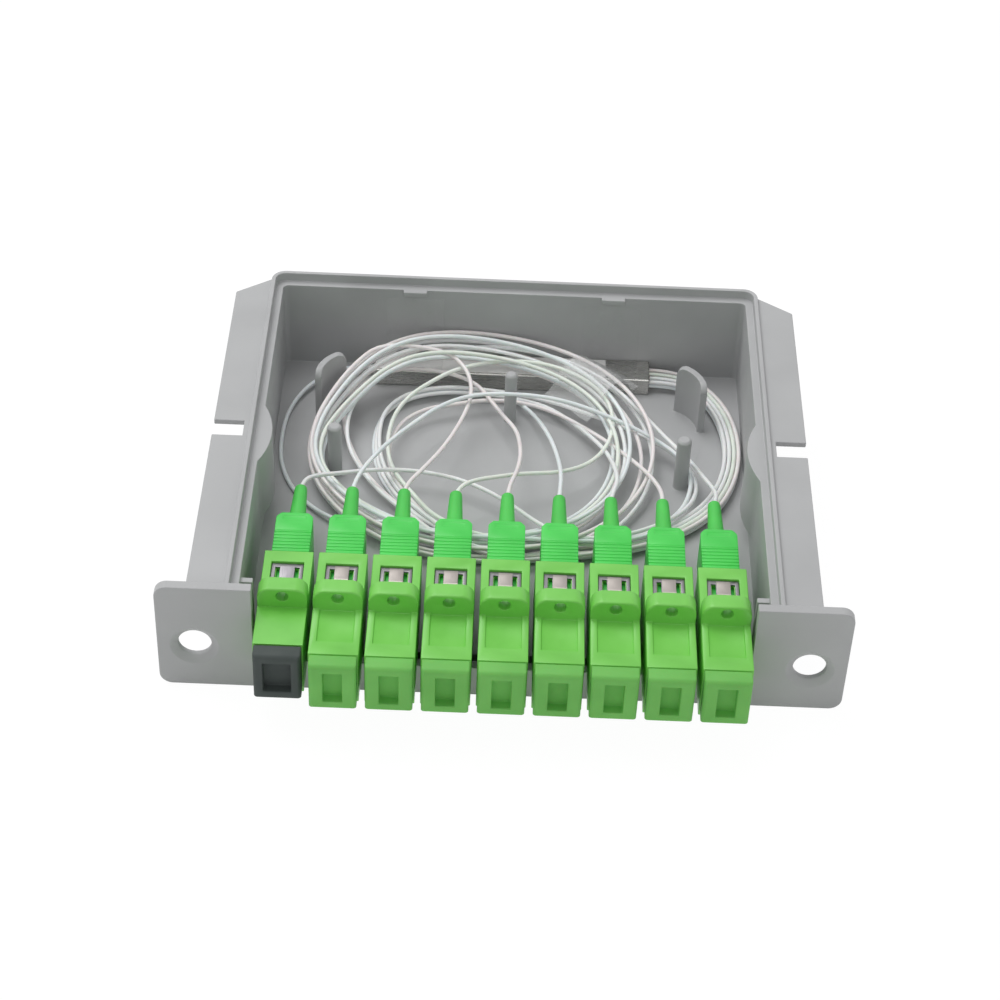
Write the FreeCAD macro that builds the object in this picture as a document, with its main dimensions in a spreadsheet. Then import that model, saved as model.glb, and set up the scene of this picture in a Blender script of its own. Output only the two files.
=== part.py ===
import FreeCAD, Part
import math
import os
import re

import Sketcher

# Card module with a fibre splitter: a moulded tray with nine capped adapters in its front
# panel, nine connectors behind them, and a steel splitter case with its fibres inside.
# Millimetres. The origin is the middle of the tray's underside, +Z up, the panel at -Y.

Vector = FreeCAD.Vector

SIZES = [
    ("panel_width", 130.0, "front panel, left to right"),
    ("panel_height", 25.0, "front panel and tray, bottom to top"),
    ("panel_thick", 2.0, "front panel"),
    ("panel_corner", 2.5, "corner radius of the panel's ears"),
    ("tray_width", 104.0, "tray outside, left to right"),
    ("tray_depth", 100.0, "panel's face to the tray's rear"),
    ("wall", 2.5, "tray walls"),
    ("floor_thick", 2.5, "tray floor"),
    ("rear_corner", 3.0, "outer radius of the tray's rear corners"),
    ("inner_corner", 1.2, "inner radius of the tray's rear corners"),
    ("lip_thick", 0.9, "rim round the lid's seat"),
    ("ledge_drop", 2.0, "depth of the lid's seat below the rim"),
    ("wing_width", 7.2, "side wing, out from the tray"),
    ("wing_thick", 1.2, "side wing"),
    ("wing_drop", 0.9, "wing's top below the rim"),
    ("wing_end", 2.0, "wing's root ahead of the tray's rear"),
    ("wing_slope", 5.0, "rear slant of the wing"),
    ("notch_place", 45.6, "panel's face to the wing's notch"),
    ("notch_wide", 4.5, "notch, front to back"),
    ("notch_deep", 6.1, "notch, in from the wing's edge"),
    ("hole_shift", 0.5, "panel holes, in from the middle of the panel's ears"),
    ("hole_height", 10.2, "panel holes above the underside"),
    ("hole_radius", 3.15, "panel holes"),
    ("sink_radius", 4.6, "mouth of the holes' cone"),
    ("sink_depth", 0.9, "cone of the panel holes"),
    ("window_gap", 0.85, "end adapters to the panel's opening"),
    ("catch_width", 5.0, "lid catch on the rear wall"),
    ("catch_place", 21.25, "lid catch, out from the middle"),
    ("catch_tall", 1.1, "lid catch"),
    ("catch_out", 1.0, "lid catch, out from the wall"),
    ("bulge_radius", 19.0, "round boss inside each side wall"),
    ("bulge_out", 2.1, "boss, in from the wall"),
    ("bulge_low", 7.5, "underside of the boss"),
    ("rib_wide", 2.3, "end rib behind the panel, in from the wall"),
    ("rib_thick", 1.3, "ribs behind the flanges"),
    ("rib_top", 22.0, "top of the end ribs"),
    ("rail_tall", 3.0, "floor rib behind the flanges"),
    ("post_side", 36.0, "front guide posts, out from the middle"),
    ("post_place", 39.5, "tray's rear to the front guide posts"),
    ("post_radius", 1.5, "front guide posts"),
    ("post_edge", 0.5, "slanted top edge of the guide posts and the pin"),
    ("post_top", 15.2, "top of the guide posts"),
    ("pin_place", 20.0, "tray's rear to the middle guide pin"),
    ("pin_radius", 1.3, "middle guide pin"),
    ("fin_side", 32.6, "centre of the curved fins, out from the middle"),
    ("fin_place", 21.7, "tray's rear to the centre of the curved fins"),
    ("fin_radius", 8.2, "curved fins, middle of the wall"),
    ("fin_thick", 1.4, "curved fins"),
    ("fin_top", 14.6, "top of the curved fins"),
    ("fin_sweep", 69.0, "curved fins, in degrees"),
    ("side_room", 2.0, "least room from the row of adapters' last pitch to the tray's wall"),
    ("facet_count", 10, "flats round the small round pieces that repeat"),
    ("port_pitch", 10.35, "adapter to adapter"),
    ("port_height", 13.25, "adapters' axis above the underside"),
    ("port_wide", 9.3, "adapter body, left to right"),
    ("port_tall", 12.1, "adapter body, bottom to top"),
    ("port_front", 9.9, "adapter body ahead of the panel's face"),
    ("port_front_first", 7.9, "the same on the input adapter"),
    ("port_rear", 17.5, "adapter body behind the panel's face"),
    ("flange_tall", 21.0, "adapter flange"),
    ("flange_thick", 3.4, "adapter flange"),
    ("flange_corner", 1.4, "cut corners of the flange"),
    ("cavity_wide", 7.5, "opening through the adapter"),
    ("cavity_tall", 9.1, "the same, bottom to top"),
    ("web_place", 2.6, "panel's face to the web inside the adapter"),
    ("web_thick", 2.2, "web inside the adapter"),
    ("screw_spacing", 17.4, "flange screw holes"),
    ("screw_radius", 1.15, "flange screw holes"),
    ("panel_sink", 0.4, "sunken field on the adapter's front half"),
    ("rail_wide", 1.3, "raised edges beside the sunken field"),
    ("rail_end", 3.4, "raised edge at the mouth"),
    ("clip_seat", 0.8, "depth of the clip's recess"),
    ("clip_wide", 6.2, "clip's recess, left to right"),
    ("clip_gap", 0.5, "flange to the clip's recess"),
    ("clip_long", 8.6, "clip's recess, front to back"),
    ("clip_thick", 0.35, "clip's sheet"),
    ("tongue_wide", 2.8, "clip's middle tongue"),
    ("tongue_gap", 0.9, "slots beside the tongue"),
    ("eye_edge", 1.0, "shelf under the clip"),
    ("fit_gap", 0.1, "sliding clearance of caps and plugs"),
    ("cap_wide", 8.8, "dust cap's head, left to right"),
    ("cap_tall", 11.0, "dust cap's head, bottom to top"),
    ("cap_lift", 0.45, "head's middle above the adapter's axis"),
    ("cap_head", 3.2, "dust cap's head, front to back"),
    ("cap_plug", 8.0, "dust cap's plug"),
    ("cap_wall", 0.9, "walls of the cap's plug"),
    ("cap_edge", 0.5, "slanted edges of the cap's face"),
    ("grip_hollow", 3.6, "recess in the cap's face, left to right"),
    ("grip_hollow_first", 5.2, "the same on the input cap"),
    ("grip_hollow_tall", 7.2, "recess in the cap's face, bottom to top"),
    ("grip_hollow_deep", 2.0, "recess in the cap's face"),
    ("grip_start", 6.6, "panel's face to the connector's grip"),
    ("grip_end", 30.5, "panel's face to the grip's rear"),
    ("grip_wide", 7.2, "grip, left to right"),
    ("grip_tall", 8.9, "grip, bottom to top"),
    ("grip_wall", 0.8, "grip's walls"),
    ("grip_back", 2.0, "grip's rear wall"),
    ("shoulder", 2.4, "slant of the grip's rear corners, along it"),
    ("shoulder_side", 1.1, "the same, across it"),
    ("groove_first", 17.9, "panel's face to the first groove"),
    ("groove_count", 8, "grooves across the grip"),
    ("groove_pitch", 0.93, "groove to groove"),
    ("groove_wide", 0.4, "groove"),
    ("groove_deep", 0.2, "groove"),
    ("frame_start", 5.7, "panel's face to the plug's inner body"),
    ("frame_end", 24.0, "panel's face to the inner body's rear"),
    ("frame_gap", 0.15, "inner body to grip"),
    ("frame_bore", 1.95, "bore round the sleeve"),
    ("sleeve_radius", 1.6, "alignment sleeve"),
    ("sleeve_long", 11.4, "alignment sleeve"),
    ("ferrule_radius", 1.25, "ferrule"),
    ("ferrule_end", 20.0, "panel's face to the ferrule's rear"),
    ("slip", 0.03, "radial clearance at ferrule and sleeve"),
    ("boot_collar", 1.8, "boot inside the grip's rear"),
    ("boot_neck", 1.5, "boot's neck"),
    ("boot_neck_place", 35.5, "panel's face to the boot's neck"),
    ("boot_tip", 1.25, "boot's tip"),
    ("boot_end", 42.7, "panel's face to the boot's tip"),
    ("boot_room", 0.3, "boot collar to the grip's rear hole"),
    ("case_long", 60.0, "splitter case"),
    ("case_wide", 7.0, "splitter case, front to back"),
    ("case_tall", 4.0, "splitter case"),
    ("case_wall", 0.4, "splitter case's sheet"),
    ("case_back", 0.15, "splitter case to the rear wall"),
    ("seal_long", 3.0, "adhesive in the case's ends"),
    ("label_long", 50.0, "label on the case"),
    ("label_wide", 6.0, "label on the case, front to back"),
    ("label_thick", 0.12, "label on the case"),
    ("label_end", 0.5, "case's left end to the label"),
    ("chip_long", 12.0, "waveguide chip"),
    ("chip_wide", 2.6, "waveguide chip and arrays"),
    ("chip_thick", 1.6, "waveguide chip and arrays"),
    ("array_long", 5.0, "glass fibre arrays"),
    ("tape_wide", 12.5, "clear tape"),
    ("tape_side", 21.2, "middle of the wall tapes, out from the middle"),
    ("tape_thick", 0.1, "clear tape"),
    ("tape_top", 20.8, "upper end of the wall tapes"),
    ("coil_gap", 0.4, "coil to the rear wall"),
    ("coil_side", -5.5, "middle of the coil, from the middle"),
    ("coil_radius", 32.6, "coil's outer radius at its ends"),
    ("coil_straight", 7.0, "coil's straight stretch"),
    ("coil_wide", 6.6, "coil, across its turns"),
    ("coil_tall", 4.4, "coil, bottom to top"),
    ("coil_edge", 1.3, "slanted edges of the coil"),
    ("coil_clear", 0.15, "coil above what it lies on"),
    ("coil_tape_turn", 48.0, "coil's tape, degrees from the right"),
    ("coil_turns", 12, "flat pieces in each half turn of the coil"),
    ("fibre_radius", 0.45, "buffered fibre"),
    ("bundle_radius", 1.5, "bundle of the eight output fibres"),
]

NAMES = [name for name, _, _ in SIZES]

doc = FreeCAD.newDocument("fibre_splitter")
sheet = doc.addObject("Spreadsheet::Sheet", "Sizes")
for line, (name, size, meaning) in enumerate(SIZES, 1):
    sheet.set(f"A{line}", meaning)
    sheet.set(f"B{line}", str(size))
    sheet.setAlias(f"B{line}", name)
doc.recompute()

# Planes that several pieces share, as formulas of the sheet's sizes.
FACE = "(-tray_depth / 2)"
PANEL_BACK = "(-tray_depth / 2 + panel_thick)"
REAR = "(tray_depth / 2)"
SIDE = "(tray_width / 2)"
INNER_SIDE = "(tray_width / 2 - wall)"
INNER_REAR = "(tray_depth / 2 - wall)"
LEDGE = "(panel_height - ledge_drop)"
SILL = "(port_height - port_tall / 2)"
FLANGE_BACK = "(-tray_depth / 2 + panel_thick + flange_thick)"
FLANGE_LOW = "(port_height - flange_tall / 2)"
CASE_BACK = "(tray_depth / 2 - wall - case_back)"
CASE_FRONT = "(tray_depth / 2 - wall - case_back - case_wide)"
CASE_TOP = "(floor_thick + case_tall)"
COIL_FRONT = "(tray_depth / 2 - wall - coil_gap - 2 * coil_radius)"


def tied(text):
    """A formula with each size's name pointed at the sheet."""
    return re.sub(r"[a-z][a-z_]+", lambda m: "Sizes." + m[0] if m[0] in NAMES else m[0], str(text))


def value(text):
    """What a formula of the sheet's sizes comes to."""
    return float(sheet.evalExpression(tied(text)))


def back(distance):
    """The y of a plane that far behind the panel's face."""
    return f"(-tray_depth / 2 + {distance})"


def block(name, x, y, z):
    """A rectangular block between two planes along each axis."""
    made = doc.addObject("Part::Box", name)
    for side, place, (low, high) in zip(("Length", "Width", "Height"), "xyz", (x, y, z)):
        made.setExpression(side, tied(f"({high}) - ({low})"))
        made.setExpression("Placement.Base." + place, tied(low))
    return made


def across(size):
    """The two planes of something centred on an axis."""
    return f"-({size}) / 2", f"({size}) / 2"


def place(made, at):
    """Put an object's own origin at three formulas."""
    for axis, text in zip("xyz", at):
        made.setExpression("Placement.Base." + axis, tied(text))
    return made


def post(name, at, radius, height):
    """An upright cylinder that stands on a point."""
    made = doc.addObject("Part::Cylinder", name)
    made.setExpression("Radius", tied(radius))
    made.setExpression("Height", tied(height))
    return place(made, at)


def rod(name, at, radius, length):
    """A cylinder that lies front to back, from a point towards the rear."""
    made = doc.addObject("Part::Cylinder", name)
    made.Placement = FreeCAD.Placement(Vector(), FreeCAD.Rotation(Vector(1, 0, 0), -90))
    made.setExpression("Radius", tied(radius))
    made.setExpression("Height", tied(length))
    return place(made, at)


def flat_rod(name, at, radius, length, bore=False):
    """A rod with flats. A pin's corners, or a bore's flats, lie on the stated radius."""
    made = doc.addObject("Part::Prism", name)
    made.Placement = FreeCAD.Placement(Vector(), FreeCAD.Rotation(Vector(1, 0, 0), -90))
    made.Polygon = round(value("facet_count"))
    made.setExpression("Circumradius", tied(f"({radius}) / cos(180 / facet_count)" if bore else radius))
    made.setExpression("Height", tied(length))
    return place(made, at)


def joined(name, *pieces):
    """One solid from several that touch or overlap."""
    made = doc.addObject("Part::MultiFuse", name)
    made.Shapes = list(pieces)
    made.Refine = True
    return made


def less(name, base, *tools):
    """A solid with the tools cut out of it."""
    made = doc.addObject("Part::Cut", name)
    made.Base = base
    made.Tool = tools[0] if len(tools) == 1 else joined(name + "_tools", *tools)
    made.Refine = True
    return made


def mirrored(name, base):
    """The same piece on the other side of the middle."""
    made = doc.addObject("Part::Mirroring", name)
    made.Source = base
    made.Normal = Vector(1, 0, 0)
    return made


def outline(body, role, start, points):
    """A closed sketch with each corner tied to its two formulas, on one of the body's planes."""
    sketch = body.newObject("Sketcher::SketchObject", body.Name + "_sketch")
    plane = next(f for f in body.Origin.OriginFeatures if f.Role == role)
    sketch.AttachmentSupport = [(plane, "")]
    sketch.MapMode = "FlatFace"
    sketch.setExpression("AttachmentOffset.Base.z", tied(start))
    corners = [Vector(value(x), value(y), 0) for x, y in points]
    for i, corner in enumerate(corners):
        sketch.addGeometry(Part.LineSegment(corner, corners[(i + 1) % len(corners)]), False)
    for i in range(len(corners)):
        sketch.addConstraint(Sketcher.Constraint("Coincident", i, 2, (i + 1) % len(corners), 1))
    for i, point in enumerate(points):
        for kind, text, now in zip(("DistanceX", "DistanceY"), point, corners[i]):
            row = sketch.addConstraint(Sketcher.Constraint(kind, -1, 1, i, 1, now))
            sketch.setExpression(f"Constraints[{row}]", tied(text))
    return sketch


def plate(name, role, start, points, thick, reverse=False):
    """A padded outline. It starts on a plane and grows along that plane's normal."""
    body = doc.addObject("PartDesign::Body", name)
    pad = body.newObject("PartDesign::Pad", name + "_pad")
    pad.Profile = outline(body, role, start, points)
    pad.setExpression("Length", tied(thick))
    pad.Reversed = reverse
    body.Tip = pad
    return body


def skinned(name, rings, closed=False):
    """A solid with flat faces through rings of points, with end faces unless it closes on itself."""
    steps = list(zip(rings, rings[1:])) + ([(rings[-1], rings[0])] if closed else [])
    faces = []
    for one, two in steps:
        for i in range(len(one)):
            k = (i + 1) % len(one)
            faces.append(Part.Face(Part.makePolygon([one[i], one[k], two[k], two[i], one[i]])))
    for end in [] if closed else (rings[0], rings[-1]):
        faces.append(Part.Face(Part.makePolygon(end + end[:1])))
    shell = Part.makeShell(faces)
    shell.sewShape()
    solid = Part.makeSolid(Part.Shell(shell.Faces))
    made = doc.addObject("Part::Feature", name)
    made.Shape = solid if solid.Volume > 0 else solid.reversed()
    return made


def eased(name, base, picks, size, kind="Part::Fillet"):
    """Rounded or slanted edges. picks says which edges, by their two end points."""
    doc.recompute()
    made = doc.addObject(kind, name)
    made.Base = base
    ends = [[edge.Vertexes[0].Point, edge.Vertexes[-1].Point] for edge in base.Shape.Edges]
    radius = value(size)
    made.Edges = [(i, radius, radius) for i, e in enumerate(ends, 1) if picks(*e)]
    return made


nodes = {}


def node(name, made):
    """Register the finished piece that makes a node."""
    made.Label = name
    nodes[name] = made
    return made


def ports():
    """Each adapter's number and the formula of its x."""
    return [(i, f"({i} - {(PORTS + 1) / 2}) * port_pitch") for i in range(1, PORTS + 1)]


def copy_at_port(name, pattern, x):
    """A link to a pattern that was modelled on the adapters' axis."""
    made = doc.addObject("App::Link", name)
    made.LinkedObject = pattern
    made.LinkTransform = True
    return place(made, (x, "0", "port_height"))


# Housing: tray, panel, wings, ribs, catches and guides in one moulding.


# The row holds as many adapters as the tray has room for, and the panel opens round them.
PORTS = math.floor(value("(tray_width - 2 * wall - 2 * side_room) / port_pitch"))
WINDOW = f"({PORTS - 1} * port_pitch / 2 + port_wide / 2 + window_gap)"


def near(a, b):
    return abs(a - b) < 1e-4


def guide(name, at, radius):
    """An upright moulded pin with a slanted top edge."""
    made = post(name + "_shaft", at, radius, "post_top - floor_thick")
    top = value("post_top")
    return eased(name, made, lambda a, b: near(a.z, top) and near(b.z, top), "post_edge",
                 "Part::Chamfer")


def tray():
    """The open box with rounded rear corners and the stepped seat for a lid."""
    outer = block("tray_block", across("tray_width"), (PANEL_BACK, REAR), ("0", "panel_height"))
    rear = value(REAR)

    def upright_rear(y):
        return lambda a, b: near(a.x, b.x) and near(a.y, b.y) and near(a.y, y)

    shell = eased("tray_round", outer, upright_rear(rear), "rear_corner")
    room = block("tray_room", (f"-{INNER_SIDE}", INNER_SIDE), (PANEL_BACK, INNER_REAR),
                 ("floor_thick", "panel_height"))
    room = eased("tray_room_round", room, upright_rear(value(INNER_REAR)), "inner_corner")
    seat = block("lid_seat", (f"-({SIDE} - lip_thick)", f"{SIDE} - lip_thick"),
                 (PANEL_BACK, f"{REAR} - lip_thick"), (LEDGE, "panel_height"))
    seat = eased("lid_seat_round", seat, upright_rear(rear - value("lip_thick")),
                 "rear_corner - lip_thick")
    return less("tray_shell", shell, room, seat)


def panel():
    """The front panel: two ears and the sill that the adapters stand on."""
    half = "panel_width / 2"
    sheet_outline = [
        (f"-{half}", "0"), (half, "0"), (half, "panel_height"), (WINDOW, "panel_height"),
        (WINDOW, SILL), (f"-{WINDOW}", SILL), (f"-{WINDOW}", "panel_height"),
        (f"-{half}", "panel_height"),
    ]
    flat = plate("panel_plate", "XZ_Plane", "tray_depth / 2", sheet_outline, "panel_thick", True)
    edge = value(half)
    return eased("panel_round", flat, lambda a, b: near(abs(a.x), edge) and near(a.z, b.z)
                 and near(a.x, b.x), "panel_corner")


def wing():
    """The right side wing with its notch and slanted rear end."""
    tip = f"{SIDE} + wing_width"
    inside = f"{SIDE} - lip_thick / 2"
    root = f"{SIDE} + wing_width - notch_deep"
    outline_points = [
        (inside, PANEL_BACK), (tip, PANEL_BACK), (tip, back("notch_place")),
        (root, back("notch_place")), (root, back("notch_place + notch_wide")),
        (tip, back("notch_place + notch_wide")), (tip, f"{REAR} - wing_end - wing_slope"),
        (SIDE, f"{REAR} - wing_end"), (inside, f"{REAR} - wing_end"),
    ]
    return plate("wing_right", "XY_Plane", "panel_height - wing_drop - wing_thick",
                 outline_points, "wing_thick")


def bulge():
    """The round boss on the inside of the right wall, level with the wing's notch."""
    drum = post("bulge_drum", (f"{INNER_SIDE} + bulge_radius - bulge_out",
                               back("notch_place + notch_wide / 2"), "bulge_low"),
                "bulge_radius", f"{LEDGE} - bulge_low")
    keep = block("bulge_keep", (f"{INNER_SIDE} - bulge_out", f"{SIDE} - lip_thick"),
                 (back("notch_place - bulge_radius / 2"),
                  back("notch_place + notch_wide + bulge_radius / 2")), ("bulge_low", LEDGE))
    made = doc.addObject("Part::MultiCommon", "bulge_right")
    made.Shapes = [drum, keep]
    return made


def curved_fin():
    """The right rear fibre guide: a thin wall on part of a circle."""
    at = ("fin_side", f"{REAR} - fin_place", "floor_thick")
    solid = post("fin_outer", at, "fin_radius + fin_thick / 2", "fin_top - floor_thick")
    solid.setExpression("Angle", tied("fin_sweep"))
    core = post("fin_inner", at, "fin_radius - fin_thick / 2", "fin_top - floor_thick")
    wall = less("fin_wall", solid, core)
    reach = value("fin_radius + fin_thick / 2")
    thin = value("fin_thick")
    top = value("fin_top")
    centre = Vector(value("fin_side"), value(at[1]), 0)

    def top_end(a, b):
        flat = near(a.z, top) and near(b.z, top) and near((a - b).Length, thin)
        return flat and max((p - centre).Length for p in (a, b)) < reach + top

    return eased("fin_right", wall, top_end, "fin_thick * 1.6")


def lid_catch(name, middle):
    return block(name, (f"{middle} - catch_width / 2", f"{middle} + catch_width / 2"),
                 (f"{INNER_REAR} - catch_out", f"{INNER_REAR} + lip_thick"),
                 (f"{LEDGE} - catch_tall", LEDGE))


def housing():
    right = [wing(), bulge(), curved_fin()]
    right.append(lid_catch("catch_right", "catch_place"))
    right.append(block("end_rib_right", (f"{INNER_SIDE} - rib_wide", f"{INNER_SIDE} + lip_thick"),
                       (f"{FLANGE_BACK} + fit_gap", f"{FLANGE_BACK} + fit_gap + rib_thick"),
                       ("floor_thick", "rib_top")))
    right.append(guide("post_right", ("post_side", f"{REAR} - post_place", "floor_thick"),
                       "post_radius"))
    left = [mirrored(piece.Name.replace("right", "") + "left", piece) for piece in right]
    middle = [
        guide("guide_pin", ("0", f"{REAR} - pin_place", "floor_thick"), "pin_radius"),
        block("flange_rail", (f"-{INNER_SIDE}", INNER_SIDE),
              (f"{FLANGE_BACK} + fit_gap", f"{FLANGE_BACK} + fit_gap + rib_thick"),
              ("floor_thick", "floor_thick + rail_tall")),
        block("flange_bed", (f"-{WINDOW}", WINDOW), (PANEL_BACK, f"{FLANGE_BACK} + fit_gap"),
              ("floor_thick", FLANGE_LOW)),
    ]
    solid = joined("housing_solid", tray(), panel(), *right, *left, *middle)
    cuts = []
    for side, sign in (("left", "-1"), ("right", "1")):
        x = f"{sign} * ((tray_width + panel_width) / 4 - hole_shift)"
        cuts.append(rod("hole_" + side, (x, FACE, "hole_height"), "hole_radius", "panel_thick"))
        cone = doc.addObject("Part::Cone", "sink_" + side)
        cone.Placement = FreeCAD.Placement(Vector(), FreeCAD.Rotation(Vector(1, 0, 0), -90))
        cone.setExpression("Radius1", tied("sink_radius"))
        cone.setExpression("Radius2", tied("hole_radius"))
        cone.setExpression("Height", tied("sink_depth"))
        cuts.append(place(cone, (x, FACE, "hole_height")))
    node("housing", less("housing_cut", solid, *cuts))


# Adapters, their clips and sleeves, modelled on their own axis at x 0 and z 0.


def adapter_pattern(name, front, sunken=True):
    """A simplex adapter. front is how far its body stands ahead of the panel's face, and sunken
    says that its front half has a sunken field above and below."""
    mouth, rear = back(f"-{front}"), back("port_rear")
    body = block(name + "_body", across("port_wide"), (mouth, rear), across("port_tall"))
    w, t, c = "port_wide / 2", "flange_tall / 2", "flange_corner"
    corners = [(f"-{w}", f"-{t} + {c}"), (f"-{w} + {c}", f"-{t}"), (f"{w} - {c}", f"-{t}"),
               (w, f"-{t} + {c}"), (w, f"{t} - {c}"), (f"{w} - {c}", t), (f"-{w} + {c}", t),
               (f"-{w}", f"{t} - {c}")]
    flange = plate(name + "_flange", "XZ_Plane", "tray_depth / 2 - panel_thick", corners,
                   "flange_thick", True)
    cavity = ("cavity_wide", "cavity_tall")
    web_front, web_back = back("web_place"), back("web_place + web_thick")
    cuts = [
        block(name + "_mouth", across(cavity[0]), (mouth, web_front), across(cavity[1])),
        block(name + "_socket", across(cavity[0]), (web_back, rear), across(cavity[1])),
        flat_rod(name + "_bore", ("0", web_front, "0"), "sleeve_radius + slip", "web_thick", True),
    ]
    clip_y = (f"{FLANGE_BACK} + clip_gap", f"{FLANGE_BACK} + clip_gap + clip_long")
    eye_y = (f"{clip_y[0]} + eye_edge", f"{clip_y[1]} - eye_edge")
    for side, sign in (("upper", "1"), ("lower", "-1")):
        top = "port_tall / 2"
        screw_at = ("0", PANEL_BACK, f"{sign} * screw_spacing / 2")
        cuts.append(flat_rod(f"{name}_{side}_screw", screw_at, "screw_radius", "flange_thick", True))
        levels = [f"{sign} * ({top} - panel_sink)", f"{sign} * {top}"]
        field = levels if sign == "1" else levels[::-1]
        if sunken:
            cuts.append(block(f"{name}_{side}_field", across("port_wide - 2 * rail_wide"),
                              (f"{mouth} + rail_end", PANEL_BACK), field))
    cuts.append(block(name + "_clip_seat", across("clip_wide"), clip_y,
                      ("port_tall / 2 - clip_seat", "port_tall / 2")))
    cuts.append(block(name + "_clip_eye", across("clip_wide - 2 * eye_edge"), eye_y,
                      ("cavity_tall / 2", "port_tall / 2 - clip_seat")))
    return less(name, joined(name + "_solid", body, flange), *cuts)


def clip_pattern():
    """A flat sheet clip with a tongue between two slots."""
    y = (f"{FLANGE_BACK} + clip_gap + fit_gap", f"{FLANGE_BACK} + clip_gap + clip_long - fit_gap")
    z = ("port_tall / 2 - clip_seat", "port_tall / 2 - clip_seat + clip_thick")
    sheet_metal = block("clip_sheet", across("clip_wide - 2 * fit_gap"), y, z)
    inner, outer = "tongue_wide / 2", "(tongue_wide / 2 + tongue_gap)"
    slot_y = (y[0], f"{y[1]} - eye_edge")
    right = block("clip_slot", (inner, outer), slot_y, z)
    return less("clip", sheet_metal, right, mirrored("clip_slot_left", right))


def sleeve_pattern():
    """The ceramic sleeve that lines two ferrules up, centred on the adapter's web."""
    start = back("web_place + web_thick / 2 - sleeve_long / 2")
    outer = flat_rod("sleeve_outer", ("0", start, "0"), "sleeve_radius", "sleeve_long")
    inner = flat_rod("sleeve_inner", ("0", start, "0"), "ferrule_radius + slip", "sleeve_long", True)
    return less("sleeve", outer, inner)


def cap_pattern(name, front, hollow):
    """A push-in dust cap: a head with a recess in its face, and a hollow plug."""
    seat = f"({back('-' + front)} - fit_gap)"
    low, high = "cap_lift - cap_tall / 2", "cap_lift + cap_tall / 2"
    head = block(name + "_head", across("cap_wide"), (f"{seat} - cap_head", seat), (low, high))
    face = value(f"{seat} - cap_head")
    head = eased(name + "_head_eased", head, lambda a, b: near(a.y, face) and near(b.y, face),
                 "cap_edge", "Part::Chamfer")
    wide, tall = "(cavity_wide - 2 * fit_gap)", "(cavity_tall - 2 * fit_gap)"
    plug = block(name + "_plug", across(wide), (seat, f"{seat} + cap_plug"), across(tall))
    room = block(name + "_room", across(f"{wide} - 2 * cap_wall"), (seat, f"{seat} + cap_plug"),
                 across(f"{tall} - 2 * cap_wall"))
    recess = block(name + "_recess", across(hollow),
                   (f"{seat} - cap_head", f"{seat} - cap_head + grip_hollow_deep"),
                   ("cap_lift - grip_hollow_tall / 2", "cap_lift + grip_hollow_tall / 2"))
    return less(name, joined(name + "_solid", head, plug), room, recess)


# Connectors, modelled on the same axis.


def grip_pattern():
    """The push-pull outer sleeve with slanted rear shoulders and grooves above and below."""
    w, y0, y1 = "grip_wide / 2", back("grip_start"), back("grip_end")
    corners = [(f"-{w}", y0), (w, y0), (w, f"{y1} - shoulder"), (f"{w} - shoulder_side", y1),
               (f"-{w} + shoulder_side", y1), (f"-{w}", f"{y1} - shoulder")]
    solid = plate("grip_plate", "XY_Plane", "-grip_tall / 2", corners, "grip_tall")
    cuts = [
        block("grip_room", across("grip_wide - 2 * grip_wall"), (y0, f"{y1} - grip_back"),
              across("grip_tall - 2 * grip_wall")),
        flat_rod("grip_hole", ("0", f"{y1} - grip_back", "0"), "boot_collar + boot_room",
                 "grip_back", True),
    ]
    for i in range(round(value("groove_count"))):
        start = back(f"groove_first + {i} * groove_pitch")
        y = (start, f"{start} + groove_wide")
        over = block(f"groove_over_{i}", across("grip_wide"), y,
                     ("grip_tall / 2 - groove_deep", "grip_tall / 2"))
        under = block(f"groove_under_{i}", across("grip_wide"), y,
                      ("-grip_tall / 2", "-grip_tall / 2 + groove_deep"))
        cuts += [over, under]
    return less("grip", solid, *cuts)


def frame_pattern():
    """The connector's inner body, bored for the ferrule and for the sleeve round it."""
    hollow = "2 * (grip_wall + frame_gap)"
    y = (back("frame_start"), back("frame_end"))
    solid = block("frame_block", across(f"grip_wide - {hollow}"), y, across(f"grip_tall - {hollow}"))
    bore = flat_rod("frame_bore_cut", ("0", y[0], "0"), "frame_bore",
                    "ferrule_end - frame_start", True)
    return less("frame", solid, bore)


def ferrule_pattern():
    start = back("web_place + web_thick / 2")
    return flat_rod("ferrule", ("0", start, "0"), "ferrule_radius",
                    "ferrule_end - web_place - web_thick / 2")


def boot_pattern():
    """The rubber boot: a collar inside the grip's rear, a flare and a long thin neck."""
    stations = [("frame_end", "boot_collar"), ("grip_end + fit_gap", "boot_collar"),
                ("boot_neck_place", "boot_neck"), ("boot_end", "boot_tip")]
    turns = [2 * math.pi * i / value("facet_count") for i in range(round(value("facet_count")))]
    rings = [[Vector(value(r) * math.cos(t), value(back(y)), value(r) * math.sin(t)) for t in turns]
             for y, r in stations]
    return skinned("boot", rings)


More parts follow.
